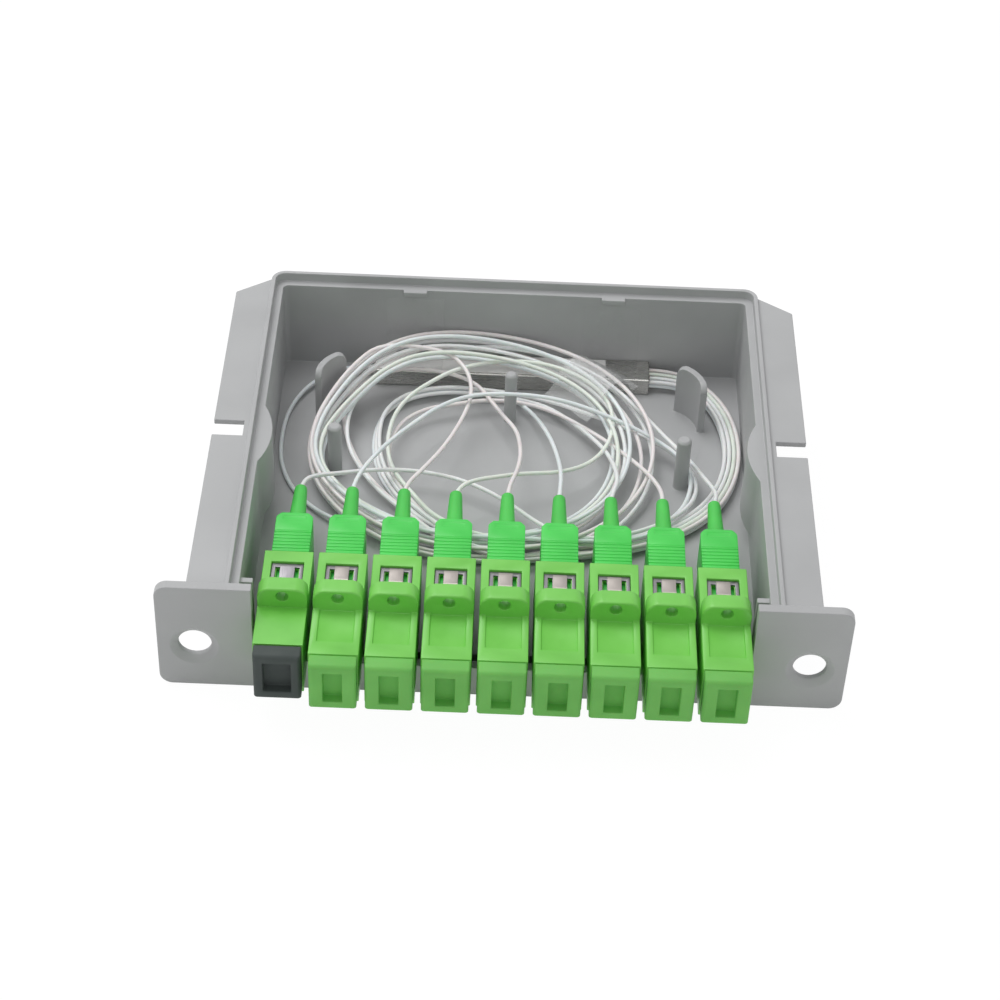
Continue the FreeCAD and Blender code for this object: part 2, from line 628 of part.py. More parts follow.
def row_of_ports():
    """Every piece that repeats with the adapters."""
    adapters = [adapter_pattern("input_adapter", "port_front_first", sunken=False),
                adapter_pattern("output_adapter", "port_front")]
    caps = [cap_pattern("input_cap", "port_front_first", "grip_hollow_first"),
            cap_pattern("output_cap", "port_front", "grip_hollow")]
    grip, boot = grip_pattern(), boot_pattern()
    for i, x in ports():
        kind = 0 if i == 1 else 1
        node(f"adapter_{i}", copy_at_port(f"adapter_at_{i}", adapters[kind], x))
        node(f"dust_cap_{i}", copy_at_port(f"cap_at_{i}", caps[kind], x))
        node(f"plug_grip_{i}", copy_at_port(f"grip_at_{i}", grip, x))
        node(f"boot_{i}", copy_at_port(f"boot_at_{i}", boot, x))
    groups = {"adapter_clips": clip_pattern(), "alignment_sleeves": sleeve_pattern(),
              "plug_frames": frame_pattern(), "ferrules": ferrule_pattern()}
    for name, pattern in groups.items():
        made = doc.addObject("Part::Compound", name + "_group")
        made.Links = [copy_at_port(f"{name}_at_{i}", pattern, x) for i, x in ports()]
        node(name, made)


# Splitter case against the rear wall, with what is inside it, its label and its tapes.


def splitter():
    half = "case_long / 2"
    case_y, case_z = (CASE_FRONT, CASE_BACK), ("floor_thick", CASE_TOP)
    room_y = (f"{CASE_FRONT} + case_wall", f"{CASE_BACK} - case_wall")
    room_z = ("floor_thick + case_wall", f"{CASE_TOP} - case_wall")
    outer = block("case_outer", (f"-{half}", half), case_y, case_z)
    inner = block("case_inner", (f"-{half}", half), room_y, room_z)
    node("splitter_case", less("case_tube", outer, inner))
    right_seal = block("seal_right", (f"{half} - seal_long", half), room_y, room_z)
    seals = doc.addObject("Part::Compound", "seals")
    seals.Links = [right_seal, mirrored("seal_left", right_seal)]
    node("case_seals", seals)
    label_y = (f"({CASE_FRONT} + {CASE_BACK} - label_wide) / 2",
               f"({CASE_FRONT} + {CASE_BACK} + label_wide) / 2")
    node("case_label", block("label", (f"-{half} + label_end", f"-{half} + label_end + label_long"),
                             label_y, (CASE_TOP, f"{CASE_TOP} + label_thick")))
    middle = f"({CASE_FRONT} + {CASE_BACK}) / 2"
    chip_y = (f"{middle} - chip_wide / 2", f"{middle} + chip_wide / 2")
    chip_z = (room_z[0], f"{room_z[0]} + chip_thick")
    node("plc_chip", block("chip", across("chip_long"), chip_y, chip_z))
    right_array = block("array_right", ("chip_long / 2", "chip_long / 2 + array_long"), chip_y, chip_z)
    arrays = doc.addObject("Part::Compound", "arrays")
    arrays.Links = [right_array, mirrored("array_left", right_array)]
    node("fibre_arrays", arrays)


def wall_tapes():
    """Two strips from the rear wall down over the case to its front."""
    x = ("tape_side - tape_wide / 2", "tape_side + tape_wide / 2")
    over = f"({CASE_TOP} + label_thick)"
    down = block("tape_down", x, (f"{INNER_REAR} - tape_thick", INNER_REAR), (over, "tape_top"))
    top = block("tape_over", x, (f"{CASE_FRONT} - tape_thick", INNER_REAR),
                (over, f"{over} + tape_thick"))
    front = block("tape_front", x, (f"{CASE_FRONT} - tape_thick", CASE_FRONT),
                  ("floor_thick", f"{over} + tape_thick"))
    right = joined("tape_right", down, top, front)
    both = doc.addObject("Part::Compound", "tapes")
    both.Links = [right, mirrored("tape_left", right)]
    node("wall_tapes", both)


# Fibres: the shared coil, the bundle from the case and a tube for each fibre's own stretch.


def lean(made):
    """Lean a piece back with the coil: on the floor at the front, over the case at the rear."""
    rise = "(case_tall + label_thick + tape_thick + coil_clear)"
    run = f"({CASE_FRONT} - {COIL_FRONT})"
    made.Placement = FreeCAD.Placement(Vector(), FreeCAD.Rotation(Vector(1, 0, 0), 1))
    made.setExpression("Placement.Rotation.Angle", tied(f"atan({rise} / {run})"))
    return place(made, ("coil_side", COIL_FRONT, "floor_thick + coil_clear"))


def coil():
    """One closed ring of the coil's outer shape, its front edge on y 0, leant back."""
    outer, half = value("coil_radius"), value("coil_straight / 2")
    inner, tall, edge = outer - value("coil_wide"), value("coil_tall"), value("coil_edge")
    section = [(outer, edge), (outer, tall - edge), (outer - edge, tall), (inner + edge, tall),
               (inner, tall - edge), (inner, edge), (inner + edge, 0), (outer - edge, 0)]
    count = round(value("coil_turns"))
    rings = []
    for side, start in ((half, -90), (-half, 90)):
        for k in range(count + 1):
            turn = math.radians(start + 180 * k / count)
            rings.append([Vector(side + r * math.cos(turn), outer + r * math.sin(turn), z)
                          for r, z in section])
    ring = lean(skinned("coil_ring", rings, True))
    gap = doc.addObject("Part::Prism", "coil_post_gap")
    gap.Polygon = round(value("facet_count"))
    gap.setExpression("Circumradius", tied("post_radius + 3 * coil_clear"))
    gap.setExpression("Height", tied("post_top - floor_thick"))
    place(gap, ("-post_side", f"{REAR} - post_place", "floor_thick"))
    node("fibre_coil", less("coil_round_post", ring, gap))


def coil_tape():
    """A strip of clear tape over the coil, down to the floor on its inner side."""
    flat = "((coil_radius - coil_wide) * cos(90 / coil_turns) - coil_clear)"
    inner = f"sqrt({flat} ^ 2 - (tape_wide / 2) ^ 2)"
    outer, top = "coil_radius + coil_clear", "coil_tall"
    run = across("tape_wide")
    strip = joined(
        "coil_tape_strip",
        block("coil_tape_over", (f"{inner} - tape_thick", f"{outer} + tape_thick"), run,
              (top, f"{top} + tape_thick")),
        block("coil_tape_inside", (f"{inner} - tape_thick", inner), run,
              ("-2 * case_tall", f"{top} + tape_thick")),
        block("coil_tape_outside", (outer, f"{outer} + tape_thick"), run,
              ("coil_edge", f"{top} + tape_thick")))
    turn = FreeCAD.Rotation(Vector(0, 0, 1), value("coil_tape_turn"))
    strip.Placement = FreeCAD.Placement(Vector(), turn)
    place(strip, ("coil_straight / 2", "coil_radius", "0"))
    leant = doc.addObject("Part::Compound", "coil_tape_leant")
    leant.Links = [strip]
    below = block("coil_tape_below", across("tray_width"), (FACE, REAR),
                  ("-panel_height", "floor_thick"))
    node("coil_tape", less("coil_tape_cut", lean(leant), below))


# Routes in millimetres, from the boots to the coil. The first is the input fibre's.
LEADS = [
    [(-41.4, -7.3, 13.25), (-41.4, -2.6, 13.25), (-38.6, 2.6, 12.2), (-32.5, 6.0, 10.8),
     (-24.5, 7.6, 9.2), (-15.5, 7.0, 7.7), (-7.5, 4.2, 6.7), (-0.5, 0.3, 6.1), (5.0, -4.6, 5.6),
     (9.2, -9.6, 5.2)],
    [(-31.05, -7.3, 13.25), (-31.05, -2.2, 13.25), (-29.4, 4.6, 12.9), (-24.6, 11.4, 12.5),
     (-17.8, 17.6, 12.3), (-10.0, 22.6, 12.1), (-1.0, 25.7, 12.0), (8.5, 26.2, 11.8),
     (18.0, 23.6, 11.4), (27.0, 19.2, 10.7), (34.4, 16.6, 9.6), (40.2, 12.6, 7.8),
     (43.7, 6.7, 5.1)],
    [(-20.7, -7.3, 13.25), (-20.7, -2.4, 13.25), (-19.3, 3.9, 12.1), (-16.4, 11.0, 10.4),
     (-12.5, 18.2, 9.1), (-9.4, 25.6, 8.5), (-11.0, 33.9, 8.8), (-15.6, 40.5, 9.2)],
    [(-10.35, -7.3, 13.25), (-10.35, -3.0, 13.25), (-7.6, 2.2, 11.8), (-1.2, 6.2, 10.0),
     (6.8, 8.0, 8.6), (14.2, 11.2, 7.6), (19.9, 18.2, 7.3), (21.9, 26.2, 7.9)],
    [(0.0, -7.3, 13.25), (0.0, -2.0, 13.25), (0.9, 5.0, 11.9), (1.8, 12.2, 10.4),
     (1.0, 19.6, 9.4), (-2.4, 26.6, 8.8), (-5.6, 33.6, 8.6), (-6.6, 41.1, 8.7)],
    [(10.35, -7.3, 13.25), (10.35, -1.9, 13.25), (10.1, 5.3, 11.9), (8.9, 12.8, 10.3),
     (6.9, 20.3, 9.3), (4.6, 27.8, 8.5), (2.7, 34.5, 8.2), (0.4, 41.1, 8.4)],
    [(20.7, -7.3, 13.25), (20.7, -2.1, 13.25), (20.9, 5.0, 12.5), (19.2, 12.2, 11.3),
     (15.8, 19.4, 10.2), (12.2, 26.4, 9.3), (9.2, 33.2, 8.8), (7.0, 39.7, 8.9)],
    [(31.05, -7.3, 13.25), (31.05, -2.2, 13.25), (29.9, 4.8, 12.4), (26.6, 11.4, 11.0),
     (21.6, 17.0, 9.3), (16.2, 22.2, 7.9), (11.2, 27.8, 7.3), (7.6, 34.0, 7.5), (4.2, 40.4, 8.2)],
    [(41.4, -7.3, 13.25), (41.4, -2.4, 13.25), (42.2, 4.3, 12.8), (40.9, 10.4, 12.5),
     (36.8, 16.4, 12.3), (30.0, 20.8, 12.3), (22.4, 24.6, 12.3), (14.4, 28.6, 12.1),
     (6.6, 33.0, 11.6), (-1.4, 36.8, 11.0), (-8.6, 39.2, 10.5), (-14.8, 41.2, 10.0)],
]
INPUT_TAIL = [
    (-30.0, 43.85, 4.5), (-34.4, 43.85, 4.5), (-39.8, 41.6, 4.1), (-44.4, 36.8, 3.6),
    (-47.4, 29.6, 3.2), (-48.2, 21.0, 3.1), (-47.6, 12.2, 3.1), (-44.6, 4.2, 3.1),
    (-39.8, -2.0, 3.4), (-34.9, -6.2, 4.2), (-31.0, -8.0, 4.9),
]
BUNDLE = [
    (30.0, 43.85, 4.5), (35.2, 43.85, 4.5), (40.8, 40.6, 4.3), (44.6, 34.8, 4.2),
    (46.8, 27.2, 4.1), (47.2, 18.6, 4.1), (45.8, 10.2, 4.1), (42.4, 2.4, 4.1), (36.6, -4.0, 4.1),
    (29.4, -8.6, 4.2), (21.4, -11.7, 4.4), (13.8, -13.6, 4.5),
]
ARC_SHARE = 0.45
ARC_STEP = math.radians(22)


def route_wire(points):
    """Straight runs joined by tangent arcs, each as large as its two runs allow."""
    spots = [Vector(*p) for p in points]
    edges, start, radii = [], spots[0], []
    for before, corner, after in zip(spots, spots[1:], spots[2:]):
        come, go = corner - before, after - corner
        share = ARC_SHARE * min(come.Length, go.Length)
        turn = come.getAngle(go)
        radii.append(share / math.tan(turn / 2))
        come.normalize()
        go.normalize()
        first, last = corner - come * share, corner + go * share
        inward = go - come
        inward.normalize()
        depth = radii[-1] * (1 / math.cos(turn / 2) - 1)
        edges.append(Part.LineSegment(start, first).toShape())
        edges.append(Part.Arc(first, corner + inward * depth, last).toShape())
        start = last
    edges.append(Part.LineSegment(start, spots[-1]).toShape())
    return Part.Wire(edges), radii


def stations_along(wire):
    """The ends of the runs, and points between them on the arcs that turn the most."""
    spots = [wire.OrderedVertexes[0].Point]
    for edge in wire.OrderedEdges:
        chords = 1
        if isinstance(edge.Curve, Part.Circle):
            chords = math.ceil(edge.Length / edge.Curve.Radius / ARC_STEP)
        ends = edge.discretize(chords + 1)
        if (ends[0] - spots[-1]).Length > (ends[-1] - spots[-1]).Length:
            ends.reverse()
        spots += ends[1:]
    return spots


def tube(name, points, radius, sides):
    """A tube with flats along a route, mitred at its stations."""
    wire, radii = route_wire(points)
    spots = stations_along(wire)
    along = [(b - a).normalize() for a, b in zip(spots, spots[1:])]
    across_it = along[0].cross(Vector(0, 0, 1)).normalize()
    upright = across_it.cross(along[0])
    corner = radius * math.sqrt(2 * math.pi / sides / math.sin(2 * math.pi / sides))
    turns = [2 * math.pi * (i + 0.5) / sides for i in range(sides)]
    rings = [[spots[0] + (across_it * math.cos(t) + upright * math.sin(t)) * corner for t in turns]]
    for k, run in enumerate(along):
        mitre = run + (along[k + 1] if k + 1 < len(along) else run)
        rings.append([p + run * ((spots[k + 1] - p).dot(mitre) / run.dot(mitre)) for p in rings[-1]])
    made = skinned(name + "_tube", rings)
    share = made.Shape.Volume / (math.pi * radius ** 2 * wire.Length)
    print(name, "length", round(wire.Length, 1), "smallest radius", round(min(radii), 1),
          "volume share", round(share, 3))
    node(name, made)


def fibres():
    for i, points in enumerate(LEADS, 1):
        tube(f"fibre_{i}", points, value("fibre_radius"), 6)
    tube("fibre_input_tail", INPUT_TAIL, value("fibre_radius"), 6)
    tube("fibre_bundle", BUNDLE, value("bundle_radius"), 8)


def write_nodes():
    """Check every object and every node's shape, then write one file per node."""
    doc.recompute()
    bad = [o.Name for o in doc.Objects if "Invalid" in o.State or "Error" in o.State]
    if bad:
        raise RuntimeError(f"these objects failed: {bad}")
    os.makedirs("parts", exist_ok=True)
    for name, made in nodes.items():
        shape = Part.getShape(made)
        if shape.isNull() or not shape.isValid() or not shape.Solids:
            raise RuntimeError(f"{name} has no valid solid")
        shape.exportStep(f"parts/{name}.step")
    print(len(nodes), "nodes")


housing()
row_of_ports()
splitter()
wall_tapes()
coil()
coil_tape()
fibres()
write_nodes()
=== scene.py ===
from math import cos, exp, floor, pi, radians, sin, tanh

import bpy
from mathutils import Euler, Matrix, Vector


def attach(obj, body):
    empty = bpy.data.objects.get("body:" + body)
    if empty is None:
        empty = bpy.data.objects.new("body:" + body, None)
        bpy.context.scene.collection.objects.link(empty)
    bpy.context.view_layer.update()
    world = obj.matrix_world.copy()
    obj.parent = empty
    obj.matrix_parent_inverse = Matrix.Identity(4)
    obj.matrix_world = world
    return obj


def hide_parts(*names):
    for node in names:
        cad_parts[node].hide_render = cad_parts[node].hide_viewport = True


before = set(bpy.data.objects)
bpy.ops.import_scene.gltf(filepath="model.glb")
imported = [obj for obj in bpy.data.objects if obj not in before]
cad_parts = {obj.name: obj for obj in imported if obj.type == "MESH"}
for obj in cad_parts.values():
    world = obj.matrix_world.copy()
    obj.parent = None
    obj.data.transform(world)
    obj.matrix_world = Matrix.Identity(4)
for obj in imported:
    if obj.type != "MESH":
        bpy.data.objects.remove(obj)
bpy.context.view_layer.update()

MM = 0.001
PITCH = 10.35                      # from one port to the next
PORTS = range(1, 10)
MIDDLE_PORT = 5
EXIT_Y, EXIT_Z = -7.3, 13.25       # where a fibre leaves its boot
FIBRE = 0.9                        # width of a buffered fibre


def port_side(port):
    """How far a port is from the middle of the row."""
    return (port - MIDDLE_PORT) * PITCH


# Camera: the photograph's place and angle, worked out from the tray's corners in it.

CAMERA_PLACE = (-3.41, -378.04, 337.71)
CAMERA_DOWN, CAMERA_ASIDE, CAMERA_ROLL = 41.576, -0.294, 2.484     # degrees
CAMERA_SENSOR, CAMERA_LENS = 36.0, 88.495                          # width and focal length
CAMERA_SHIFT = (0.0006, 0.0127)                                    # shares of the frame


def set_camera():
    """The camera looks down into the tray from in front of the panel, a little rolled."""
    data = bpy.data.cameras.new("camera")
    data.sensor_width = CAMERA_SENSOR
    data.lens = CAMERA_LENS
    data.shift_x, data.shift_y = CAMERA_SHIFT
    camera = bpy.data.objects.new("camera", data)
    bpy.context.scene.collection.objects.link(camera)
    look = Euler((radians(90 - CAMERA_DOWN), 0, radians(CAMERA_ASIDE))).to_matrix()
    roll = Euler((0, 0, radians(CAMERA_ROLL))).to_matrix()
    camera.rotation_euler = (look @ roll).to_euler()
    camera.location = Vector(CAMERA_PLACE) * MM
    bpy.context.scene.camera = camera


# Materials. Real grain, from a mould or from rolls, is mostly too fine to show, so it is drawn as coarse
# as it needs to be, 0.1 to 0.6 mm.

LOW, HIGH = 0.3, 0.7               # nearly all of a noise lies between these


def rgba(code):
    """Turns an sRGB hex value to the linear colour that a socket takes."""
    parts = [int(code[i:i + 2], 16) / 255 for i in (1, 3, 5)]
    return [p / 12.92 if p <= 0.04045 else ((p + 0.055) / 1.055) ** 2.4 for p in parts] + [1.0]


def blank(name):
    """A new material with an empty tree."""
    material = bpy.data.materials.new(name)
    material.use_nodes = True
    material.node_tree.nodes.clear()
    return material


def add(tree, kind, sockets=(), **settings):
    """Adds a node to a tree, with its settings, and sets or links its sockets."""
    node = tree.nodes.new(kind)
    for name, setting in settings.items():
        setattr(node, name, setting)
    for name, given in dict(sockets).items():
        if isinstance(given, bpy.types.NodeSocket):
            tree.links.new(given, node.inputs[name])
        else:
            node.inputs[name].default_value = given
    return node


def per_mm(size):
    """A texture's scale for a pattern of this size in millimetres."""
    return 1 / (size * MM)


def moulded(name, main, deep, rough, grain=0.25, relief=0.02, cloud=9.0, ior=1.5, soft=0.0):
    """Moulded plastic: a fine grain from the mould, cloudy colour and uneven gloss from its flow."""
    material = blank(name)
    tree = material.node_tree
    place = add(tree, "ShaderNodeTexCoord").outputs["Object"]
    clouds = add(tree, "ShaderNodeTexNoise", {"Vector": place, "Scale": per_mm(cloud), "Detail": 3.0})
    fine = add(tree, "ShaderNodeTexNoise", {"Vector": place, "Scale": per_mm(grain), "Detail": 2.0})
    smear = add(tree, "ShaderNodeTexNoise", {"Vector": place, "Scale": per_mm(cloud / 4), "Detail": 4.0})
    share = add(tree, "ShaderNodeMapRange", {
        "Value": clouds.outputs["Fac"], "From Min": LOW, "From Max": HIGH})
    colour = add(tree, "ShaderNodeMixRGB", {
        "Fac": share.outputs["Result"], "Color1": rgba(deep), "Color2": rgba(main)})
    gloss = add(tree, "ShaderNodeMapRange", {
        "Value": smear.outputs["Fac"], "From Min": LOW, "From Max": HIGH,
        "To Min": rough - 0.06, "To Max": rough + 0.06})
    bump = add(tree, "ShaderNodeBump", {
        "Height": fine.outputs["Fac"], "Strength": 0.35, "Distance": relief * MM})
    shader = add(tree, "ShaderNodeBsdfPrincipled", {
        "Base Color": colour.outputs["Color"], "Roughness": gloss.outputs["Result"],
        "Normal": bump.outputs["Normal"], "IOR": ior,
        "Subsurface Weight": soft, "Subsurface Scale": 1.2 * MM})
    add(tree, "ShaderNodeOutputMaterial", {"Surface": shader.outputs["BSDF"]})
    return material


def rolled_metal(name, main, deep, rough, grain, stretch):
    """Sheet metal: fine lines from the rolls, longer one way, with duller and darker streaks."""
    material = blank(name)
    tree = material.node_tree
    place = add(tree, "ShaderNodeTexCoord").outputs["Object"]
    drawn = add(tree, "ShaderNodeMapping", {"Vector": place, "Scale": stretch})
    lines = add(tree, "ShaderNodeTexNoise", {
        "Vector": drawn.outputs["Vector"], "Scale": per_mm(grain), "Detail": 3.0})
    stains = add(tree, "ShaderNodeTexNoise", {"Vector": place, "Scale": per_mm(6.0), "Detail": 3.0})
    colour = add(tree, "ShaderNodeMixRGB", {
        "Fac": stains.outputs["Fac"], "Color1": rgba(deep), "Color2": rgba(main)})
    gloss = add(tree, "ShaderNodeMapRange", {
        "Value": lines.outputs["Fac"], "From Min": LOW, "From Max": HIGH,
        "To Min": rough - 0.1, "To Max": rough + 0.1})
    bump = add(tree, "ShaderNodeBump", {
        "Height": lines.outputs["Fac"], "Strength": 0.25, "Distance": 0.01 * MM})
    shader = add(tree, "ShaderNodeBsdfPrincipled", {
        "Base Color": colour.outputs["Color"], "Roughness": gloss.outputs["Result"],
        "Normal": bump.outputs["Normal"], "Metallic": 1.0})
    add(tree, "ShaderNodeOutputMaterial", {"Surface": shader.outputs["BSDF"]})
    return material


def clear_film(name, milky_most, milky_least):
    """Clear tape: a thin glossy film that hardly shows, with a few bubbles caught under it."""
    material = blank(name)
    tree = material.node_tree
    place = add(tree, "ShaderNodeTexCoord").outputs["Object"]
    bubbles = add(tree, "ShaderNodeTexVoronoi", {"Vector": place, "Scale": per_mm(3.0)})
    creases = add(tree, "ShaderNodeTexNoise", {"Vector": place, "Scale": per_mm(4.0), "Detail": 3.0})
    milky = add(tree, "ShaderNodeMapRange", {
        "Value": bubbles.outputs["Distance"], "From Min": 0.1, "From Max": 0.3,
        "To Min": milky_most, "To Max": milky_least})
    bump = add(tree, "ShaderNodeBump", {
        "Height": creases.outputs["Fac"], "Strength": 0.4, "Distance": 0.2 * MM})
    shader = add(tree, "ShaderNodeBsdfPrincipled", {
        "Base Color": rgba("#F7F8F8"), "Roughness": 0.16, "IOR": 1.49,
        "Normal": bump.outputs["Normal"], "Alpha": milky.outputs["Result"]})
    add(tree, "ShaderNodeOutputMaterial", {"Surface": shader.outputs["BSDF"]})
    return material


def glass(name):
    """Polished glass of the splitter chip: clear, with a faint ripple from the saw."""
    material = blank(name)
    tree = material.node_tree
    place = add(tree, "ShaderNodeTexCoord").outputs["Object"]
    ripple = add(tree, "ShaderNodeTexNoise", {"Vector": place, "Scale": per_mm(0.8), "Detail": 2.0})
    bump = add(tree, "ShaderNodeBump", {
        "Height": ripple.outputs["Fac"], "Strength": 0.1, "Distance": 0.01 * MM})
    shader = add(tree, "ShaderNodeBsdfPrincipled", {
        "Base Color": rgba("#DDE8E8"), "Roughness": 0.08, "Transmission Weight": 1.0, "IOR": 1.47,
        "Normal": bump.outputs["Normal"]})
    add(tree, "ShaderNodeOutputMaterial", {"Surface": shader.outputs["BSDF"]})
    return material


# The tray: satin grey with a broad, soft sheen and a hint of cloud.
HOUSING = moulded("abs_grey_satin_moulded", "#B9BABB", "#B0B1B2", 0.52, grain=0.3, relief=0.03, cloud=14.0)
# Adapters: a fresh, smooth green whose edges catch the light.
ADAPTER = moulded("pbt_leaf_green_moulded", "#80D65C", "#74CB50", 0.36, grain=0.4, relief=0.012, ior=1.52)
# Dust caps: a duller, frosted green that light sinks into a little.
CAP = moulded("pp_cap_green_frosted", "#7BC863", "#6FBB58", 0.6, grain=0.22, relief=0.03, ior=1.4, soft=0.1)
# The first cap: the same frost on dark grey, with hardly any shine.
CAP_BLACK = moulded("pp_cap_black_frosted", "#444C4A", "#3E4644", 0.7, grain=0.22, relief=0.03)
# Grips: a bluer and stronger green with clear highlights.
GRIP = moulded("abs_emerald_gloss_moulded", "#4ADB57", "#40CF4E", 0.36, grain=0.3, relief=0.012, ior=1.53)
# Boots: rubber, softer in its shine than the grips.
BOOT = moulded("tpe_boot_green", "#55D35A", "#4AC450", 0.55, grain=0.18, relief=0.03, soft=0.1)
# Inner bodies that the grips slide on: a plain, slightly darker green.
FRAME = moulded("pbt_plug_frame_green", "#52C957", "#48BC4D", 0.4, grain=0.3, relief=0.02)
# Ferrules and sleeves: warm white with a wet shine.
CERAMIC = moulded("zirconia_polished", "#F2F0EA", "#E9E6DE", 0.16, grain=0.1, relief=0.004, ior=2.1)
# The case's end plugs: cloudy, yellowish and uneven.
ADHESIVE = moulded("epoxy_adhesive_cured", "#DCD8CC", "#CFC9B8", 0.3, grain=0.6, relief=0.06, soft=0.3)
# The label: a clean, even white.
LABEL = moulded("paper_label_coated", "#F4F4F2", "#ECECEA", 0.45, grain=0.12, relief=0.01)
# The splitter case: a blurred mirror with lines along its length.
CASE = rolled_metal("stainless_case_rolled", "#DEDDDA", "#C3C2BE", 0.26, 0.25, (0.06, 1.0, 1.0))
# The adapters' clips: grey and dull, with lines from front to back.
CLIP = rolled_metal("spring_steel_clip", "#8F8C90", "#787579", 0.42, 0.2, (1.0, 0.08, 1.0))
# Their middle tongues: the same sheet in a lighter, warmer grey, a painted highlight for the light the
# raised tongues catch.
TONGUE = rolled_metal("spring_steel_painted_highlight", "#A8A19C", "#97918D", 0.42, 0.2, (1.0, 0.08, 1.0))
# Tape over the coil: glossy, with milky spots where it holds air.
TAPE = clear_film("pp_tape_clear_creased", 0.34, 0.15)
# Tape flat on the wall: almost nothing but its shine.
WALL_TAPE = clear_film("pp_tape_clear_flat", 0.09, 0.04)
# The chip and the arrays at its ends: clear, faintly blue.
CHIP = glass("silica_chip_polished")
# The fibres' buffers: smooth and white, each with a faint tint that tells it from its neighbours.
BUFFERS = [moulded(f"pvc_buffer_{tint}", main, deep, 0.36, grain=0.15, relief=0.01, cloud=5.0, soft=0.05)
           for tint, main, deep in (("white", "#FBFCFC", "#F3F5F5"), ("rose", "#FBF6F5", "#F3EBEB"),
                                    ("ice", "#F6FBFC", "#ECF3F5"), ("mint", "#F6FBF3", "#EAF3E7"))]


# Copying, rounding and naming pieces.

WELD = 0.002                       # points of a copied CAD piece nearer than this are one
FLAT_ANGLE, SHARP_ANGLE, SMOOTH_ANGLE = 1.0, 30, 35       # degrees


def only(piece):
    """Leaves one object selected and active."""
    bpy.ops.object.select_all(action="DESELECT")
    piece.select_set(True)
    bpy.context.view_layer.objects.active = piece


def dressed(piece, material, slot, body, *nodes):
    """Gives a piece its one material and its place in the model."""
    piece.data.materials.clear()
    piece.data.materials.append(material)
    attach(piece, body)
    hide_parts(*nodes)


def rounded(piece, edge, sharp, steps, clamp):
    """Rounds a piece's edges that turn by more than the sharp angle, and smooths what is left."""
    rounding = piece.modifiers.new("rounding", "BEVEL")
    rounding.width = edge * MM
    rounding.segments = steps
    rounding.limit_method = "ANGLE"
    rounding.angle_limit = radians(sharp)
    rounding.use_clamp_overlap = clamp
    bpy.ops.object.modifier_apply(modifier="rounding")
    bpy.ops.object.shade_smooth_by_angle(angle=radians(SMOOTH_ANGLE))


def eased(node, name, edge, steps=2, detail=None, level=False):
    """Copies a CAD node, merges it, adds its small detail and rounds its sharp edges as the mould does.
    Where level is true, its broad faces are shaded dead flat."""
    piece = bpy.data.objects.new(name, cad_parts[node].data.copy())
    bpy.context.scene.collection.objects.link(piece)
    only(piece)
    bpy.ops.object.mode_set(mode="EDIT")
    bpy.ops.mesh.select_all(action="SELECT")
    bpy.ops.mesh.remove_doubles(threshold=WELD * MM)
    bpy.ops.mesh.dissolve_limited(angle_limit=radians(FLAT_ANGLE))
    bpy.ops.mesh.normals_make_consistent(inside=False)
    bpy.ops.object.mode_set(mode="OBJECT")
    if detail:
        detail(piece)
    rounded(piece, edge, SHARP_ANGLE, steps, False)
    if level:
        shading = piece.modifiers.new("level_faces", "WEIGHTED_NORMAL")
        shading.keep_sharp = True
        bpy.ops.object.modifier_apply(modifier="level_faces")
    return piece


def copied(piece, name, across):
    """A copy of a piece with its own mesh, further along the row."""
    other = bpy.data.objects.new(name, piece.data.copy())
    bpy.context.scene.collection.objects.link(other)
    other.data.transform(Matrix.Translation((across * MM, 0, 0)))
    return other


def along_row(piece, first, name, material, slot, body, node):
    """Repeats a finished piece at the ports after its own, and gives all of them their finish and place.
    The port's number goes where a name has braces."""
    for port in PORTS[first:]:
        other = copied(piece, name.format(port), port_side(port) - port_side(first))
        dressed(other, material, slot, body.format(port), node.format(port))
    dressed(piece, material, slot, body.format(first), node.format(first))


# Cords: nine fibres, each from its boot to the splitter case. The routes are in millimetres and follow
# the strands that show, from the boot to where each goes into the coil.

